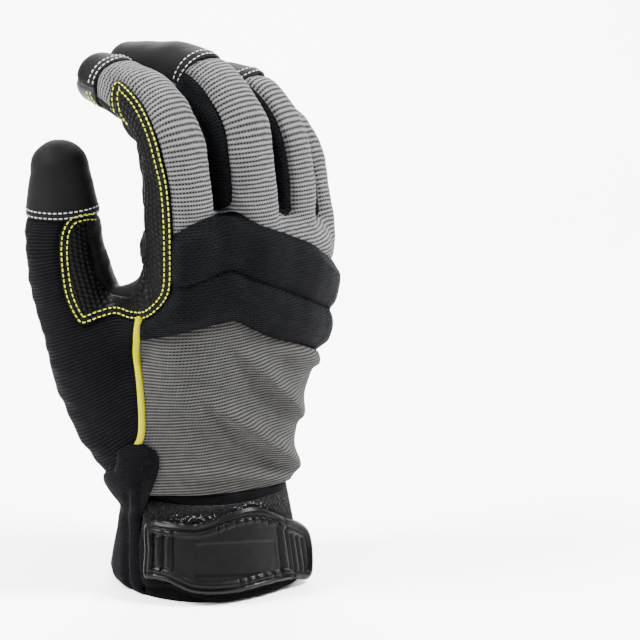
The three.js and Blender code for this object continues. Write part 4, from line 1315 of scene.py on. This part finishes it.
@dataclass
class Palm:
    """The leather front of the glove with its three sewn-on reinforcements."""

    shop: Workshop
    patch_height: float = 1.15
    crown: float = 0.55
    quilting: float = 0.35  # depth of the groove that the stitches draw
    gather_height: float = 0.8
    gathers: int = 34
    bend_depth: float = 0.9
    bends: tuple[float, ...] = (1.9, 4.3, 5.3)  # rows where a finger's front creases

    def build(self) -> None:
        """Cuts the palm, gathers it above the cuff and lays the patches on it."""
        sewn = self.shop.sewn
        palm = sewn.cut(sewn.palm_side())
        leather = self.shop.finishes.leather(PALM_LEATHER)
        x, y, z = palm.points.T
        turn = np.arctan2(y + 1, x)
        gather = bell(np.maximum(z - 31, 0), 8) * np.sin(turn * self.gathers + 0.8 * np.sin(turn * 7))
        crease = 0.45 * ripples(palm.points, 26, 3) + 0.2 * ripples(palm.points * (1, 1, 1.8), 9, 4)
        bend = sum(bell(palm.facts[f"{n}_arc"] - DIGITS[n].arc_at(r), 3.2) * (palm.facts[f"{n}_d"] < SKIN)
                   for n in FINGERS for r in self.bends)
        height = self.gather_height * gather + crease - self.bend_depth * bend * eased(palm.facts["hand"], -2, 3)
        panel = self.shop.sew("palm_leather_panel", palm, height, leather, "palm_leather", "palm_panel")
        LOG.info("%s has %d gathers above the cuff", panel.name, self.gathers)
        shaped = palm.pushed(height)
        for name, outline in (("palm_pad", PALM_PAD), ("thumb_ball_pad", THUMB_BALL),
                              ("finger_base_pad", FINGER_BASE)):
            patch = shaped.split(shaped.inside(outline, "palm", 5))[0].largest(0.1)
            edge = patch.edge_distance(8.0)
            lift = self.patch_height * (1 - np.exp(-edge / 0.55)) + self.crown * eased(edge, 1, 8)
            lift -= self.quilting * bell(edge - 1.9, 0.8)
            piece = self.shop.sew(f"{name}_patch", patch, lift, leather, "palm_leather", name, thickness=1.0, roll=0)


@dataclass
class BackOfHand:
    """The back of the glove: dimpled web patch, thumb's side, knuckle pad, grey knit and yellow piping."""

    shop: Workshop
    pad_height: float = 3.4
    crease_depth: float = 3.3
    piping_radius: float = 1.25
    piping_lift: float = 0.35

    def build(self) -> None:
        """Cuts and dresses the panels of the back, from the fork of the thumb to the fingers."""
        sewn, finishes = self.shop.sewn, self.shop.finishes
        self._web(finishes.leather(DOTTED_GRIP))
        f = sewn.cloth.facts
        seam = smooth_line([(v, u) for u, v in THUMB_SEAM], 5)
        beside = -(f["back_u"] - np.interp(f["back_v"], seam[:, 0], seam[:, 1]))
        on_index = np.minimum(2.0 - f["index_d"], (f["index_row"] - 0.8) * ROW)
        side = sewn.cut(np.minimum(beside, -on_index), 0.05)
        height = 0.3 * ripples(side.points, 24, 8) + 0.25 * ripples(side.points * (0.5, 0.5, 1.5), 8, 9)
        self.shop.sew("thumb_side_knit", side, height, finishes.knit(RIBBED_KNIT), "ribbed_knit",
                      "thumb_side_panel")
        f = sewn.cloth.facts
        top, crease, bottom = (smooth_line(line, 5) for line in (PAD_TOP, PAD_CREASE, PAD_BOTTOM))
        under_top = -above_line(top, f["back_u"], f["back_v"])
        over_bottom = above_line(bottom, f["back_u"], f["back_v"])
        pad = sewn.cut(np.minimum(under_top, over_bottom), 0.05).plain()
        piece = self.shop.sew("knuckle_foam_pad", pad, self._pad_relief(pad, top, crease, bottom),
                              finishes.knit(PAD_KNIT), "black_knit", "knuckle_pad", roll=0.5)
        f = sewn.cloth.facts
        lower = sewn.cut(-above_line(bottom, f["back_u"], f["back_v"]), 0.05).plain()
        grey = finishes.knit(GREY_KNIT)
        # The lower back wears a darker copy of the grey knit; its darker thread is painted shade.
        self.shop.sew("lower_back_knit", lower, self._folds(lower), finishes.knit(SHADED_LOWER_KNIT), "grey_knit",
                      "back_lower")
        backs = sewn.cut(np.ones(len(sewn.cloth.points)), 0.03)
        height = 0.3 * ripples(backs.points, 20, 12) + 0.12 * ripples(backs.points * (1, 1, 2), 8, 13)
        self.shop.sew("finger_back_knit", backs, height, grey, "grey_knit", "finger_backs", "index_back")
        self._piping(finishes.leather(YELLOW_PIPING))

    def _web(self, material: bpy.types.Material) -> None:
        """Cuts the patch over the fork of thumb and forefinger, which stands out a little."""
        sewn = self.shop.sewn
        web = sewn.cut(sewn.cloth.inside(WEB_LOBE + WEB_EDGE + WEB_BACK), 0.05)
        edge = web.edge_distance(4.0)
        height = 0.8 * (1 - np.exp(-edge / 0.5)) + 0.25 * ripples(web.points, 16, 6) - 0.3 * bell(edge - 2.2, 0.8)
        self.shop.sew("web_grip_patch", web, height, material, "dotted_grip", "web_patch", roll=0.1)

    def _pad_relief(self, pad: Cloth, top: Array, crease: Array, bottom: Array) -> Array:
        """The knuckle pad's two lobes, which meet in a soft crease, as a height for each of its points."""
        u, v = pad.facts["back_u"], pad.facts["back_v"]
        t, c, b = (np.interp(u, line[:, 0], line[:, 1]) for line in (top, crease, bottom))
        share = np.where(v > c, (v - c) / (t - c), (v - b) / (c - b))
        height = self.pad_height * np.sqrt(np.clip(4 * share * (1 - share), 0, 1))
        height = np.maximum(height, (self.pad_height - self.crease_depth) * bell(v - c, 1.1))
        height *= (0.25 + 0.75 * eased(pad.edge_distance(8.0), 0, 5)) * eased(-pad.normals[:, 1], -0.35, 0.25)
        return height + 0.2 * ripples(pad.points, 11, 15)

    @staticmethod
    def _folds(lower: Cloth) -> Array:
        """The folds of the loose cloth above the cuff, as a height for each of its points."""
        u, v = lower.facts["back_u"], lower.facts["back_v"]
        height = 0.35 * ripples(lower.points, 22, 17)
        for u0, v0, u1, v1, high, half_width in FOLDS:
            du, dv = u1 - u0, v1 - v0
            length = math.hypot(du, dv)
            t = ((u - u0) * du + (v - v0) * dv) / length**2
            across = ((v - v0) * du - (u - u0) * dv) / length
            width = np.where(across < 0, 0.5, 1.25) * half_width  # steep below the crest
            past = np.maximum(np.maximum(-t, t - 1), 0) * length
            rise = eased(t, -0.3, 0.45) * (1 - 0.6 * eased(t, 0.7, 1.05))
            height += high * bell(across, width) * bell(past, 5.0) * rise
        return height * eased(lower.points[:, 2], 30.5, 36)  # nothing at the cuff

    def _piping(self, material: bpy.types.Material) -> None:
        """Lays the yellow piping along the seam between the thumb's side and the grey knit."""
        points, normals = cast_line(self.shop.tree(), BACK_VIEW, smooth_line(PIPING, 8))
        piece = tube("yellow_piping", points + normals * self.piping_lift, normals, self.piping_radius, 12)
        dressed(piece, material, "piping", "side_piping")


def cast_line(tree: BVHTree, view: View, line: Array) -> tuple[Array, Array]:
    """Casts a drawn line onto faces.

    Args:
        tree: the faces.
        view: the view that the line is drawn in.
        line: its points.

    Returns:
        The points that were met, and the normals of the faces there.
    """
    points, normals = [], []
    for u, v in line:
        start, way = view.ray(u, v)
        point, normal, _, _ = tree.ray_cast(Vector(start), Vector(way))
        if point is not None and Vector(way).dot(normal) < 0:
            points.append(tuple(point))
            normals.append(tuple(normal))
    return np.array(points).reshape(-1, 3), np.array(normals).reshape(-1, 3)


def evened(points: Array, normals: Array, step: float) -> tuple[Array, Array]:
    """Points and normals at even steps along a line, smoothed a little."""
    arc = arc_of(points)
    at = np.arange(0, arc[-1], step)
    return read_at(at, arc, points), unit(read_at(at, arc, relaxed(normals, 2)))


def tube(name: str, points: Array, normals: Array, radius: float, sides: int) -> bpy.types.Object:
    """Sweeps a round section along a line, with round ends.

    Args:
        name: the piece's name.
        points: the line's points in millimetres.
        normals: the direction away from the cloth at each.
        radius: the section's radius.
        sides: how many sides it has.

    Returns:
        The piece.
    """
    points, normals = evened(points, normals, 0.9)
    points = relaxed(points, 3)
    along = unit(np.gradient(points, axis=0))
    side = unit(np.cross(along, normals))
    up = np.cross(side, along)
    last = len(points) - 1
    bend = np.linspace(0, math.pi / 2, 4)[:-1]
    steps = [(0, -radius * math.cos(a), math.sin(a)) for a in bend]
    steps += [(i, 0.0, 1.0) for i in range(last + 1)]
    steps += [(last, radius * math.cos(a), math.sin(a)) for a in bend[::-1]]
    turn = (np.arange(sides) * math.tau / sides)[:, None]
    corners = [points[i] + along[i] * shift
               + radius * max(size, 0.02) * (side[i] * np.cos(turn) + up[i] * np.sin(turn))
               for i, shift, size in steps]
    faces = ring_faces(len(steps), sides, 0).tolist()
    faces += [list(range(sides))[::-1], list(range((len(steps) - 1) * sides, len(steps) * sides))]
    return finished(name, mesh_of(name, np.concatenate(corners), faces))


def ring_faces(rings: int, sides: int, start: int) -> Array:
    """The quads between rings of points that are counted ring by ring from start."""
    j = np.arange(sides)
    k = (j + 1) % sides
    return start + np.concatenate([np.stack([j, k, sides + k, sides + j], 1) + r * sides for r in range(rings - 1)])


@dataclass
class Thread:
    """Stitches of one thread, gathered into one piece."""

    name: str
    material: bpy.types.Material
    slot: str
    pitch: float = 1.85
    length: float = 1.3
    radius: float = 0.23
    sides: int = 6
    # Rings of a stitch: place in half lengths, size and height in radii.
    rings: tuple[tuple[float, float, float], ...] = (
        (-1.0, 0.25, -0.55), (-0.8, 0.85, -0.05), (-0.3, 1.0, 0.28), (0.3, 1.0, 0.28), (0.8, 0.85, -0.05),
        (1.0, 0.25, -0.55))
    corners: list[Array] = field(default_factory=list)

    def lay(self, points: Array, normals: Array) -> None:
        """Lays a row of stitches.

        Args:
            points: a line on the cloth, in millimetres.
            normals: the direction away from the cloth at each of its points.
        """
        if len(points) < 3:
            return
        gaps = np.nonzero(np.linalg.norm(np.diff(points, axis=0), axis=1) > 4.0)[0] + 1
        for part, ways in zip(np.split(points, gaps), np.split(normals, gaps)):
            if len(part) > 2:
                self._row(*evened(part, ways, self.pitch / 4))

    def _row(self, points: Array, normals: Array) -> None:
        """Lays the stitches of one unbroken line, whose points lie a quarter of a pitch apart."""
        turn = (np.arange(self.sides) * math.tau / self.sides)[:, None]
        for i in range(2, len(points) - 2, 4):
            along = unit(points[i + 1] - points[i - 1])
            side = unit(np.cross(along, normals[i]))
            up = np.cross(side, along)
            for place, size, lift in self.rings:
                middle = points[i] + along * place * self.length / 2 + up * self.radius * lift
                self.corners.append(middle + (np.cos(turn) * side + np.sin(turn) * up) * self.radius * size)

    def piece(self) -> bpy.types.Object:
        """Makes the stitches one piece."""
        faces: list[list[int]] = []
        each = self.sides * len(self.rings)
        for start in range(0, len(self.corners) * self.sides, each):
            faces += ring_faces(len(self.rings), self.sides, start).tolist()
            faces.append(list(range(start, start + self.sides))[::-1])
            faces.append(list(range(start + each - self.sides, start + each)))
        return dressed(finished(self.name, mesh_of(self.name, np.concatenate(self.corners), faces)), self.material,
                       self.slot)


@dataclass
class Stitching:
    """The rows of stitches on the web patch, the fingertip caps, the smooth pads and the palm's patches."""

    shop: Workshop
    web_rows: tuple[float, float] = (0.9, 2.9)  # how far the rows lie from the edge
    palm_rows: tuple[float, float] = (0.9, 2.6)
    cap_rows: tuple[float, float] = (0.9, 2.9)
    touch_rows: tuple[float, float] = (2.5, 4.3)

    def build(self) -> None:
        """Lays all rows on the finished panels."""
        tree = self.shop.tree()
        finishes = self.shop.finishes
        yellow, white = finishes.leather(YELLOW_THREAD), finishes.leather(WHITE_THREAD)
        web = Thread("web_stitches", yellow, "piping")
        outline = smooth_line(WEB_LOBE + WEB_EDGE + WEB_BACK, 4, closed=True)
        for inset in self.web_rows:
            self._drawn(tree, web, BACK_VIEW, smooth_line(WEB_LOBE + WEB_EDGE, 8), outline, inset)
        web.piece()
        palm = Thread("palm_stitches", white, "palm_leather")
        for points in (PALM_PAD, THUMB_BALL, FINGER_BASE):
            outline = smooth_line(points, 8, closed=True)
            for inset in self.palm_rows:
                self._drawn(tree, palm, PALM_VIEW, np.concatenate([outline, outline[:1]]), outline, inset)
        palm.piece()
        caps = Thread("fingertip_stitches", white, "palm_leather")
        front = Thread("touch_pad_stitches", yellow, "piping")
        for name in CAPPED:
            for past in self.cap_rows:
                caps.lay(*self._ring(tree, name, past, -1.0, 0.0 if name in TOUCHING else 1.0))
        for name in TOUCHING:
            for past in self.touch_rows:
                front.lay(*self._ring(tree, name, past, 0.12, 1.0))
        caps.piece()
        front.piece()
        self._fluff(tree, Thread("loop_fluff", white, "loop_pile", 0.3, 0.26, 0.045))

    @staticmethod
    def _fluff(tree: BVHTree, thread: Thread, tufts: int = 44) -> None:
        """Scatters short loose ends over the loop pile, close to the tab's upper edge."""
        draw = np.random.default_rng(23)
        for u in np.concatenate([draw.uniform(-14, 2.5, tufts), draw.uniform(8, 21, tufts // 2)]):
            v = np.interp(u, (-14, 2.5, 8, 16, 21), (19.2, 19.6, 22.6, 24.6, 23.8)) + draw.normal(0, 0.45)
            angle = draw.uniform(0, math.tau)
            way = np.array([math.cos(angle), math.sin(angle)])
            thread.lay(*cast_line(tree, BACK_VIEW, np.array([u, v]) + np.linspace(0, 0.8, 6)[:, None] * way))
        thread.piece()

    def _drawn(self, tree: BVHTree, thread: Thread, view: View, line: Array, outline: Array, inset: float) -> None:
        """Lays a row inside a drawn outline, inset millimetres from its edge."""
        way = np.gradient(line, axis=0)
        side = unit(np.stack([-way[:, 1], way[:, 0]], 1))
        if np.median(inside_by(outline, line + side * 0.8)) < 0:
            side = -side
        moved = line + side * inset
        thread.lay(*cast_line(tree, view, moved[inside_by(outline, moved) > inset * 0.8]))

    @staticmethod
    def _ring(tree: BVHTree, name: str, past: float, low: float, high: float) -> tuple[Array, Array]:
        """A row round a digit, past its cap's seam.

        Args:
            tree: the finished faces.
            name: the digit.
            past: how far past the seam, in millimetres.
            low: the least front value, in half depths to the palm, that the row is laid on.
            high: the greatest.

        Returns:
            The row's points and normals.
        """
        digit = DIGITS[name]
        *axes, _, _, arc = digit.stations()
        points, normals = [], []
        start = math.pi / 2 if low > 0 else -math.pi / 2  # the row's ends lie opposite to this
        for a in np.linspace(start - math.pi, start + math.pi, 120):
            b = math.sin(a)
            if not low <= b <= high:
                continue
            wanted = digit.seam() + past - 1.2 * (b * b - 0.5)
            at = min(wanted, arc[-1])
            centre, along, side, palm = (read_at(at, arc, axis) for axis in axes)
            origin = centre + along * (wanted - at)
            way = side * math.cos(a) + palm * b
            hit, normal, _, _ = tree.ray_cast(Vector(origin + way * 5.0), Vector(way))
            if hit is not None and (hit - Vector(origin)).length < 16:
                points.append(tuple(hit))
                normals.append(tuple(normal * math.copysign(1, Vector(way).dot(normal))))
        return np.array(points).reshape(-1, 3), np.array(normals).reshape(-1, 3)


def cuff_outline(angle: Array, height: Array, more: float = 0.0) -> Array:
    """Points of the cuff's outer face.

    Args:
        angle: directions round the cuff in radians.
        height: heights over its mouth.
        more: how far outside the face.

    Returns:
        An (n, 3) array.
    """
    wide, deep = cuff_halves(height)
    c, s = np.cos(angle), np.sin(angle)
    power = 2 / CUFF_POWER
    return np.stack([(wide + more) * np.sign(c) * np.abs(c) ** power, (deep + more) * np.sign(s) * np.abs(s) ** power,
                     height], -1)


def cuff_halves(height: Array) -> list[Array]:
    """Half width and half depth of the cuff's outer face at heights over its mouth."""
    return [mouth - taper * (height / CUFF_TOP) for mouth, taper in zip(CUFF_MOUTH, CUFF_TAPER)]


def cuff_top(angle: Array) -> Array:
    """The height of the cuff band's top edge in a direction."""
    return CUFF_TOP + 0.8 * np.cos(2 * angle) - 4.4 * np.sin(angle) - 1.6 * np.cos(angle)


def cuff_distance(points: Array) -> Array:
    """The distance of points from the cuff with its inside filled."""
    x, y, z = points.T
    angle = np.arctan2(y / CUFF_MOUTH[1], x / CUFF_MOUTH[0])
    wide, deep = cuff_halves(np.clip(z, -5, 40))
    k = ((np.abs(x) / wide) ** CUFF_POWER + (np.abs(y) / deep) ** CUFF_POWER) ** (1 / CUFF_POWER) + 1e-6
    return np.maximum(np.hypot(x, y) * (1 - 1 / k), z - cuff_top(angle))


@dataclass
class Cuff:
    """The elastic band, the loop pile on its back, the folded edge of its slit and the dark web in the slit."""

    shop: Workshop
    wall: float = 2.4
    sides: int = 220
    loop_height: float = 1.1
    fuzz: float = 0.32
    flap_height: float = 2.6
    web_height: float = 0.9
    crease_depth: float = 1.5  # of the folded edge
    wrinkle: float = 0.25

    def build(self) -> None:
        """Builds and dresses the cuff's pieces."""
        elastic = self.shop.finishes.knit(ELASTIC)
        self._band(elastic)
        self._loops(self.shop.finishes.leather(LOOP_PILE))
        self._slit(elastic)

    def _band(self, material: bpy.types.Material) -> None:
        """Sweeps the band's section round the cuff, with rounded edges."""
        rows = [(-w, 0.0, h) for w, h in ((1.7, 0.5), (0.9, 0.0), (0.3, 0.15), (0.0, 0.7))]
        rows += [(0.0, s, 0.0) for s in np.linspace(0.03, 0.96, 26)]
        outer_rows = len(rows)
        rows += [(-0.25, 0.985, 0.0), (-0.9, 1.0, 0.0), (-1.7, 0.99, 0.0)]
        rows += [(-self.wall, s, 0.0) for s in np.linspace(0.96, 0.03, 8)]
        n, count = self.sides, len(rows)
        angle = np.linspace(0, math.tau, n, endpoint=False)
        girth = arc_of(cuff_outline(angle, np.full(n, 15.0)))
        corners, flat = [], []
        for more, share, lift in rows:
            height = share * cuff_top(angle) + lift
            wave = self.wrinkle * np.sin(angle * 9 + 2.2 * np.sin(3 * angle)) * (0.3 + share)
            ring = cuff_outline(angle, height, more)
            corners.append(ring + unit(ring * (1, 1, 0)) * wave[:, None])
            flat.append(np.stack([girth, height], 1))
        points = np.concatenate(corners)
        faces = ring_faces(count + 1, n, 0) % (n * count)
        mesh = mesh_of("cuff_elastic", points, faces, np.concatenate(flat))
        outer = faces[:outer_rows * n]
        self.shop.outer.append((points, np.concatenate([outer[:, :3], outer[:, [0, 2, 3]]])))
        dressed(finished("cuff_elastic", mesh), material, "elastic", "cuff_band")

    def _sheet(self, low: float, high: float, step: float, more: float) -> Cloth:
        """A sheet over the back of the cuff from one direction to another, in degrees."""
        angle = np.radians(np.arange(low, high, step / 33 * 57.3))
        a, h = (axis.ravel() for axis in np.meshgrid(angle, np.arange(0.6, 34, step), indexing="ij"))
        points = cuff_outline(a, h, more)
        ahead = cuff_outline(a + 0.01, h, more) - cuff_outline(a - 0.01, h, more)
        u, v = BACK_VIEW.seen(points).T
        return Cloth(points, unit(np.cross(ahead, (0, 0, 1.0))), grid_faces(len(angle), len(a) // len(angle)), {
            "back_u": u, "back_v": v, "cloth_u": a * ROUND, "cloth_v": h, "turn": a})

    def _loops(self, material: bpy.types.Material) -> None:
        """Lays the loop pile on the band, with a fuzzy face."""
        sheet = self._sheet(-188, -62, 0.5, 0.45)
        under_top = cuff_top(sheet.facts["turn"]) - 0.8 - sheet.points[:, 2]
        pile = sheet.split(np.minimum(sheet.inside(LOOP_FIELD), under_top))[0].largest()
        edge = pile.edge_distance(3.0)
        fuzz = np.random.default_rng(11).uniform(-self.fuzz, self.fuzz, len(pile.points))
        height = self.loop_height * (1 - np.exp(-edge / 0.6)) + fuzz * eased(edge, 0, 1)
        self.shop.sew("loop_pile_field", pile, height, material, "loop_pile", "loop_patch", thickness=0.8, roll=0)

    def _slit(self, material: bpy.types.Material) -> None:
        """Builds the folded edge of the cuff's slit and the web in it, over the glove and the band."""
        base = FormGrid((-50, -36, -1.0), (-4, 32, 58), GRID * 0.85,
                        lambda p: smooth_union(glove_distance(p), cuff_distance(p), 2.0) - 0.3)

        def facts(points: Array) -> dict[str, Array]:
            """Where the back's view sees points, and where they lie in the cloth."""
            u, v = BACK_VIEW.seen(points).T
            return {"back_u": u, "back_v": v, "cloth_u": points @ BACK_VIEW.axes()[0], "cloth_v": points[:, 2].copy()}

        cloth = cloth_of(base, facts)
        front = cloth.pick(cloth.faces[(cloth.points[cloth.faces][:, :, 2] > 0.4).all(1)])
        front = front.split(-front.points @ np.array([0.8, 0.6, 0]) - 4.0)[0]
        for name, outline, node in (
                ("slit_web", SLIT_GUSSET, "slit_gusset"), ("slit_fold", CUFF_FLAP, "cuff_flap")):
            part = front.split(front.inside(outline))[0].largest(0.2)
            lift = np.full(len(part.points), self.web_height)
            if outline is CUFF_FLAP:
                rolled = 1 - np.clip(part.edge_distance(8.0) / 4.2, 0, 1)
                lift = self.flap_height * np.sqrt(1 - rolled**2)
                crease = bell(part.facts["back_u"] + 28.4, 0.9) * eased(34 - part.facts["back_v"], 0, 8)
                lift -= self.crease_depth * crease
            self.shop.sew(name, part, lift + 0.15 * ripples(part.points, 10, 31), material, "elastic", node,
                          thickness=1.2, roll=0.1)


def grid_faces(rows: int, columns: int) -> Array:
    """The triangles of a grid of points, counted row by row."""
    i, j = np.meshgrid(np.arange(rows - 1), np.arange(columns - 1), indexing="ij")
    a = (i * columns + j).ravel()
    b, c, d = a + columns, a + columns + 1, a + 1
    return np.concatenate([np.stack([a, b, c], 1), np.stack([a, c, d], 1)])


@dataclass
class Closure:
    """The strap of the wrist closure and the moulded tab on it, whose end stands off the cuff."""

    shop: Workshop
    strap_from: float = 2.3
    strap_thickness: float = 1.0
    tab_from: float = 3.5
    tab_thickness: float = 2.2
    rim_width: float = 2.1
    relief: float = 1.25
    step: float = 0.3
    turns: tuple[float, float] = (-183.0, -80.0)  # degrees round the cuff that the tab is bent over
    end: tuple[float, float] = (21.5, 5.2)  # how far it goes on after them
    taper: float = 0.17  # how much it leans in for each millimetre of height
    lean: float = 0.14  # how much its face looks up

    def build(self) -> None:
        """Builds and dresses the strap and the tab."""
        strap, _ = self._band_part(HOOK_STRAP, self.strap_from + self.strap_thickness)
        self.shop.sew("closure_strap", strap, 0.1 * ripples(strap.points, 9, 41), self.shop.finishes.knit(ELASTIC),
                      "elastic", "hook_strap", thickness=self.strap_thickness, roll=0.3, roll_width=0.7)
        tab, edge = self._band_part(TAB, self.tab_from + self.tab_thickness)
        self.shop.sew("moulded_tab", tab, self._tab_relief(tab, edge), self.shop.finishes.leather(TAB_RUBBER),
                      "strap_rubber", "strap_tab", thickness=self.tab_thickness + 0.3, roll=0.9, roll_width=0.7)

    def _path(self, more: float) -> tuple[Array, Array]:
        """The tab's line round the cuff and straight on, at a distance from the band, and its outward normals."""
        angle = np.radians(np.linspace(*self.turns, 220))
        line = cuff_outline(angle, np.full(len(angle), 6.0))[:, :2]
        t = np.linspace(0.02, 1, 40)[:, None]
        reach = unit(line[-1] - line[-2]) * 21
        line = np.concatenate([line, line[-1] + reach * t * (1 - t) ** 1.5 + np.array([self.end]) * t**1.35])
        arc = arc_of(line)
        line = relaxed(read_at(np.arange(0, arc[-1], self.step), arc, line), 60)
        way = unit(np.gradient(line, axis=0))
        normal = np.stack([way[:, 1], -way[:, 0]], 1)
        return line + normal * more, normal

    def _band_part(self, outline: Sequence[Sequence[float]], more: float) -> tuple[Cloth, Array]:
        """The part of an upright band inside a drawn outline, and how far its points lie from its edge."""
        line, normal = self._path(more)
        height = np.arange(0.15, 40, self.step)
        columns, rows = len(line), len(height)
        z = np.tile(height, columns)
        out = np.repeat(normal, rows, 0)
        points = np.concatenate([np.repeat(line, rows, 0) - out * (z * self.taper)[:, None], z[:, None]], 1)
        normals = unit(np.concatenate([out, np.full((len(z), 1), self.lean)], 1))
        u, v = BACK_VIEW.seen(points).T
        sheet = Cloth(points, normals, grid_faces(columns, rows), {
            "back_u": u, "back_v": v, "cloth_u": np.repeat(np.arange(columns) * self.step, rows), "cloth_v": z})
        part = sheet.split(sheet.inside(outline))[0].largest(0.2)
        return part, part.edge_distance(8.0)

    def _tab_relief(self, tab: Cloth, edge: Array) -> Array:
        """The tab's rim, plate, ribs, notches, groove and slots, as a height for each of its points."""
        u, v = tab.facts["back_u"], tab.facts["back_v"]

        def beside(centre: float, at: float, lean: float) -> Array:
            """How far points lie right of a slanted line, given by its u at a height and its lean."""
            return u - centre - lean * (at - v)

        upper = v > 8
        tail = eased(beside(27.6, 13, 0.14), 0, 0.6)  # the end right of the last line
        inset = edge - np.where(upper, 1.2 * bell(u - 15, 8), 0)
        flange = 0.6 * eased(1.7 - inset, 0, 0.5) * (1 - tail) + 0.95 * eased(2.5 - edge, 0, 0.6) * tail
        rim = np.sqrt(np.clip(1 - ((inset - self.rim_width - 1.1) / 1.15) ** 2, 0, 1)) * (1 - tail)
        for ticks, here in zip(TAB_TICKS, (upper, ~upper)):
            for tick in ticks:
                rim = rim * (1 - 0.95 * bell(beside(tick, 8, 0.1), 0.42) * here)
        height = np.maximum(flange, np.maximum(rim * 0.95, 0.2 * eased(edge, 3, 4)))
        ridged = eased(edge, 4.2, 5.0) * eased(np.minimum(v, 15.0 - v), -0.3, 0.5)
        grooved = eased(np.minimum(v, 15.2 - v), -0.3, 0.5)
        for centre in TAB_GROOVES:
            height += 0.55 * bell(u - centre + 1.7, 1.25) * ridged
            height -= 0.75 * bell(beside(centre, 7, -0.03), 0.42) * grooved
        height -= 0.16 * eased(tab.inside(TAB_PLATE, steps=1), -0.2, 0.5)
        for centre, at, lean, high, wide in TAB_LINES:
            height += high * bell(beside(centre, at, lean), wide) * eased(edge, 1.9, 2.6)
        for i, centre in enumerate(TAB_SLOTS):
            slot = np.minimum(0.36 - np.abs(beside(centre, 13, 0.14)), np.minimum(v, 13.2 - 0.75 * i - v))
            height -= eased(slot, -0.3, 0.3)
        return self.relief * height + 0.02 * ripples(tab.points, 6, 51)


@dataclass(frozen=True)
class Lamp:
    """A soft studio light: place and size in metres, power in watts."""

    name: str
    place: tuple[float, float, float]
    size: float
    power: float
    aim: tuple[float, float, float] = (0, 0, 0.09)


@dataclass
class Studio:
    """The pale floor, the soft light and the camera at the photograph's angle."""

    lamps: tuple[Lamp, ...] = (
        Lamp("key", (0.46, -0.60, 1.02), 0.3, 80.0),
        Lamp("fill", (-0.85, -0.1, 0.85), 0.5, 10.0),
        Lamp("top", (-0.62, 0.38, 0.95), 0.35, 58.0),
        Lamp("back", (0.4, 0.9, 0.8), 0.7, 8.0),
        Lamp("backdrop", (1.1, 1.2, 1.5), 1.2, 200.0, (1.35, 1.5, 0.0)),
    )
    world_light: float = 0.8
    floor_side: float = 6.0  # half its width
    floor_front: float = 3.0
    floor_bend: float = 1.2  # where it begins to rise behind
    floor_radius: float = 0.8
    sensor: float = 36.0  # width in millimetres

    def build(self) -> None:
        """Sets up the floor, light and camera."""
        self._floor()
        for lamp in self.lamps:
            self._light(lamp)
        world = bpy.data.worlds.new("studio")
        world.use_nodes = True
        background = world.node_tree.nodes["Background"]
        background.inputs["Color"].default_value = (1, 1, 1, 1)
        background.inputs["Strength"].default_value = self.world_light
        bpy.context.scene.world = world
        self._camera()

    def _floor(self) -> None:
        """A pale floor under the cuff that rises behind in a wide curve."""
        bend, radius = self.floor_bend, self.floor_radius
        profile = [(-self.floor_front, 0.0), (bend, 0.0)]
        profile += [(bend + radius * math.sin(a), radius - radius * math.cos(a))
                    for a in np.linspace(0.1, math.pi / 2, 12)]
        profile += [(bend + radius, 3.0)]
        right, _, eye = BACK_VIEW.axes()
        back = -unit(eye * (1, 1, 0))
        corners = [back * away + right * side + (0, 0, high)
                   for away, high in profile for side in (-self.floor_side, self.floor_side)]
        faces = [(2 * i, 2 * i + 1, 2 * i + 3, 2 * i + 2) for i in range(len(profile) - 1)]
        mesh = mesh_of("floor", np.array(corners) / MM, faces)
        floor = bpy.data.objects.new("floor", mesh)
        bpy.context.scene.collection.objects.link(floor)
        mesh.polygons.foreach_set("use_smooth", [True] * len(faces))
        material = bpy.data.materials.new("pale floor")
        material.use_nodes = True
        shader = material.node_tree.nodes["Principled BSDF"]
        shader.inputs["Base Color"].default_value = (0.93, 0.93, 0.93, 1)
        shader.inputs["Roughness"].default_value = 0.8
        shader.inputs["Specular IOR Level"].default_value = 0.1
        mesh.materials.append(material)

    @staticmethod
    def _light(lamp: Lamp) -> None:
        """Adds a soft light."""
        data = bpy.data.lights.new(lamp.name, "AREA")
        data.size = lamp.size
        data.energy = lamp.power
        light = bpy.data.objects.new(lamp.name, data)
        light.location = lamp.place
        way = Vector(lamp.aim) - light.location
        light.rotation_euler = way.to_track_quat("-Z", "Y").to_euler()
        bpy.context.scene.collection.objects.link(light)

    def _camera(self) -> None:
        """Puts the camera where the photograph's was, turned so that the glove stands where it shows it."""
        right, up, eye = BACK_VIEW.axes()
        u, v = EYE_AT
        data = bpy.data.cameras.new("camera")
        data.sensor_width = self.sensor
        data.lens = SCALE * EYE * self.sensor / IMAGE
        data.clip_start, data.clip_end = 0.05, 20
        across = IMAGE / 2 - (MOUTH[0] + SCALE * u)  # pixels from the point before the eye to the picture's middle
        down = IMAGE / 2 - (MOUTH[1] - SCALE * v)
        aim = right * across - up * down - eye * SCALE * EYE
        side = unit(np.cross(aim, (0, 0, 1.0)))
        back = unit(-aim)
        turn = Matrix((side, np.cross(back, side), back)).transposed()
        camera = bpy.data.objects.new("camera", data)
        camera.matrix_world = Matrix.Translation(Vector((right * u + up * v + eye * EYE) * MM)) @ turn.to_4x4()
        bpy.context.scene.collection.objects.link(camera)
        bpy.context.scene.camera = camera


def main() -> None:
    """Builds the glove in order: fingertips, palm, back, cuff, closure and stitches, then the studio."""
    logging.basicConfig(level=logging.INFO, format="%(name)s: %(message)s")
    form = FormGrid((-58, -38, 26), (58, 52, 196), GRID, glove_distance)
    shop = Workshop(Sewn(form), Finishes())
    for assembly in (Fingers, Palm, BackOfHand, Cuff, Closure, Stitching):
        assembly(shop).build()
        LOG.info("%s done", assembly.__name__)
    Studio().build()


if __name__ == "__main__":
    main()
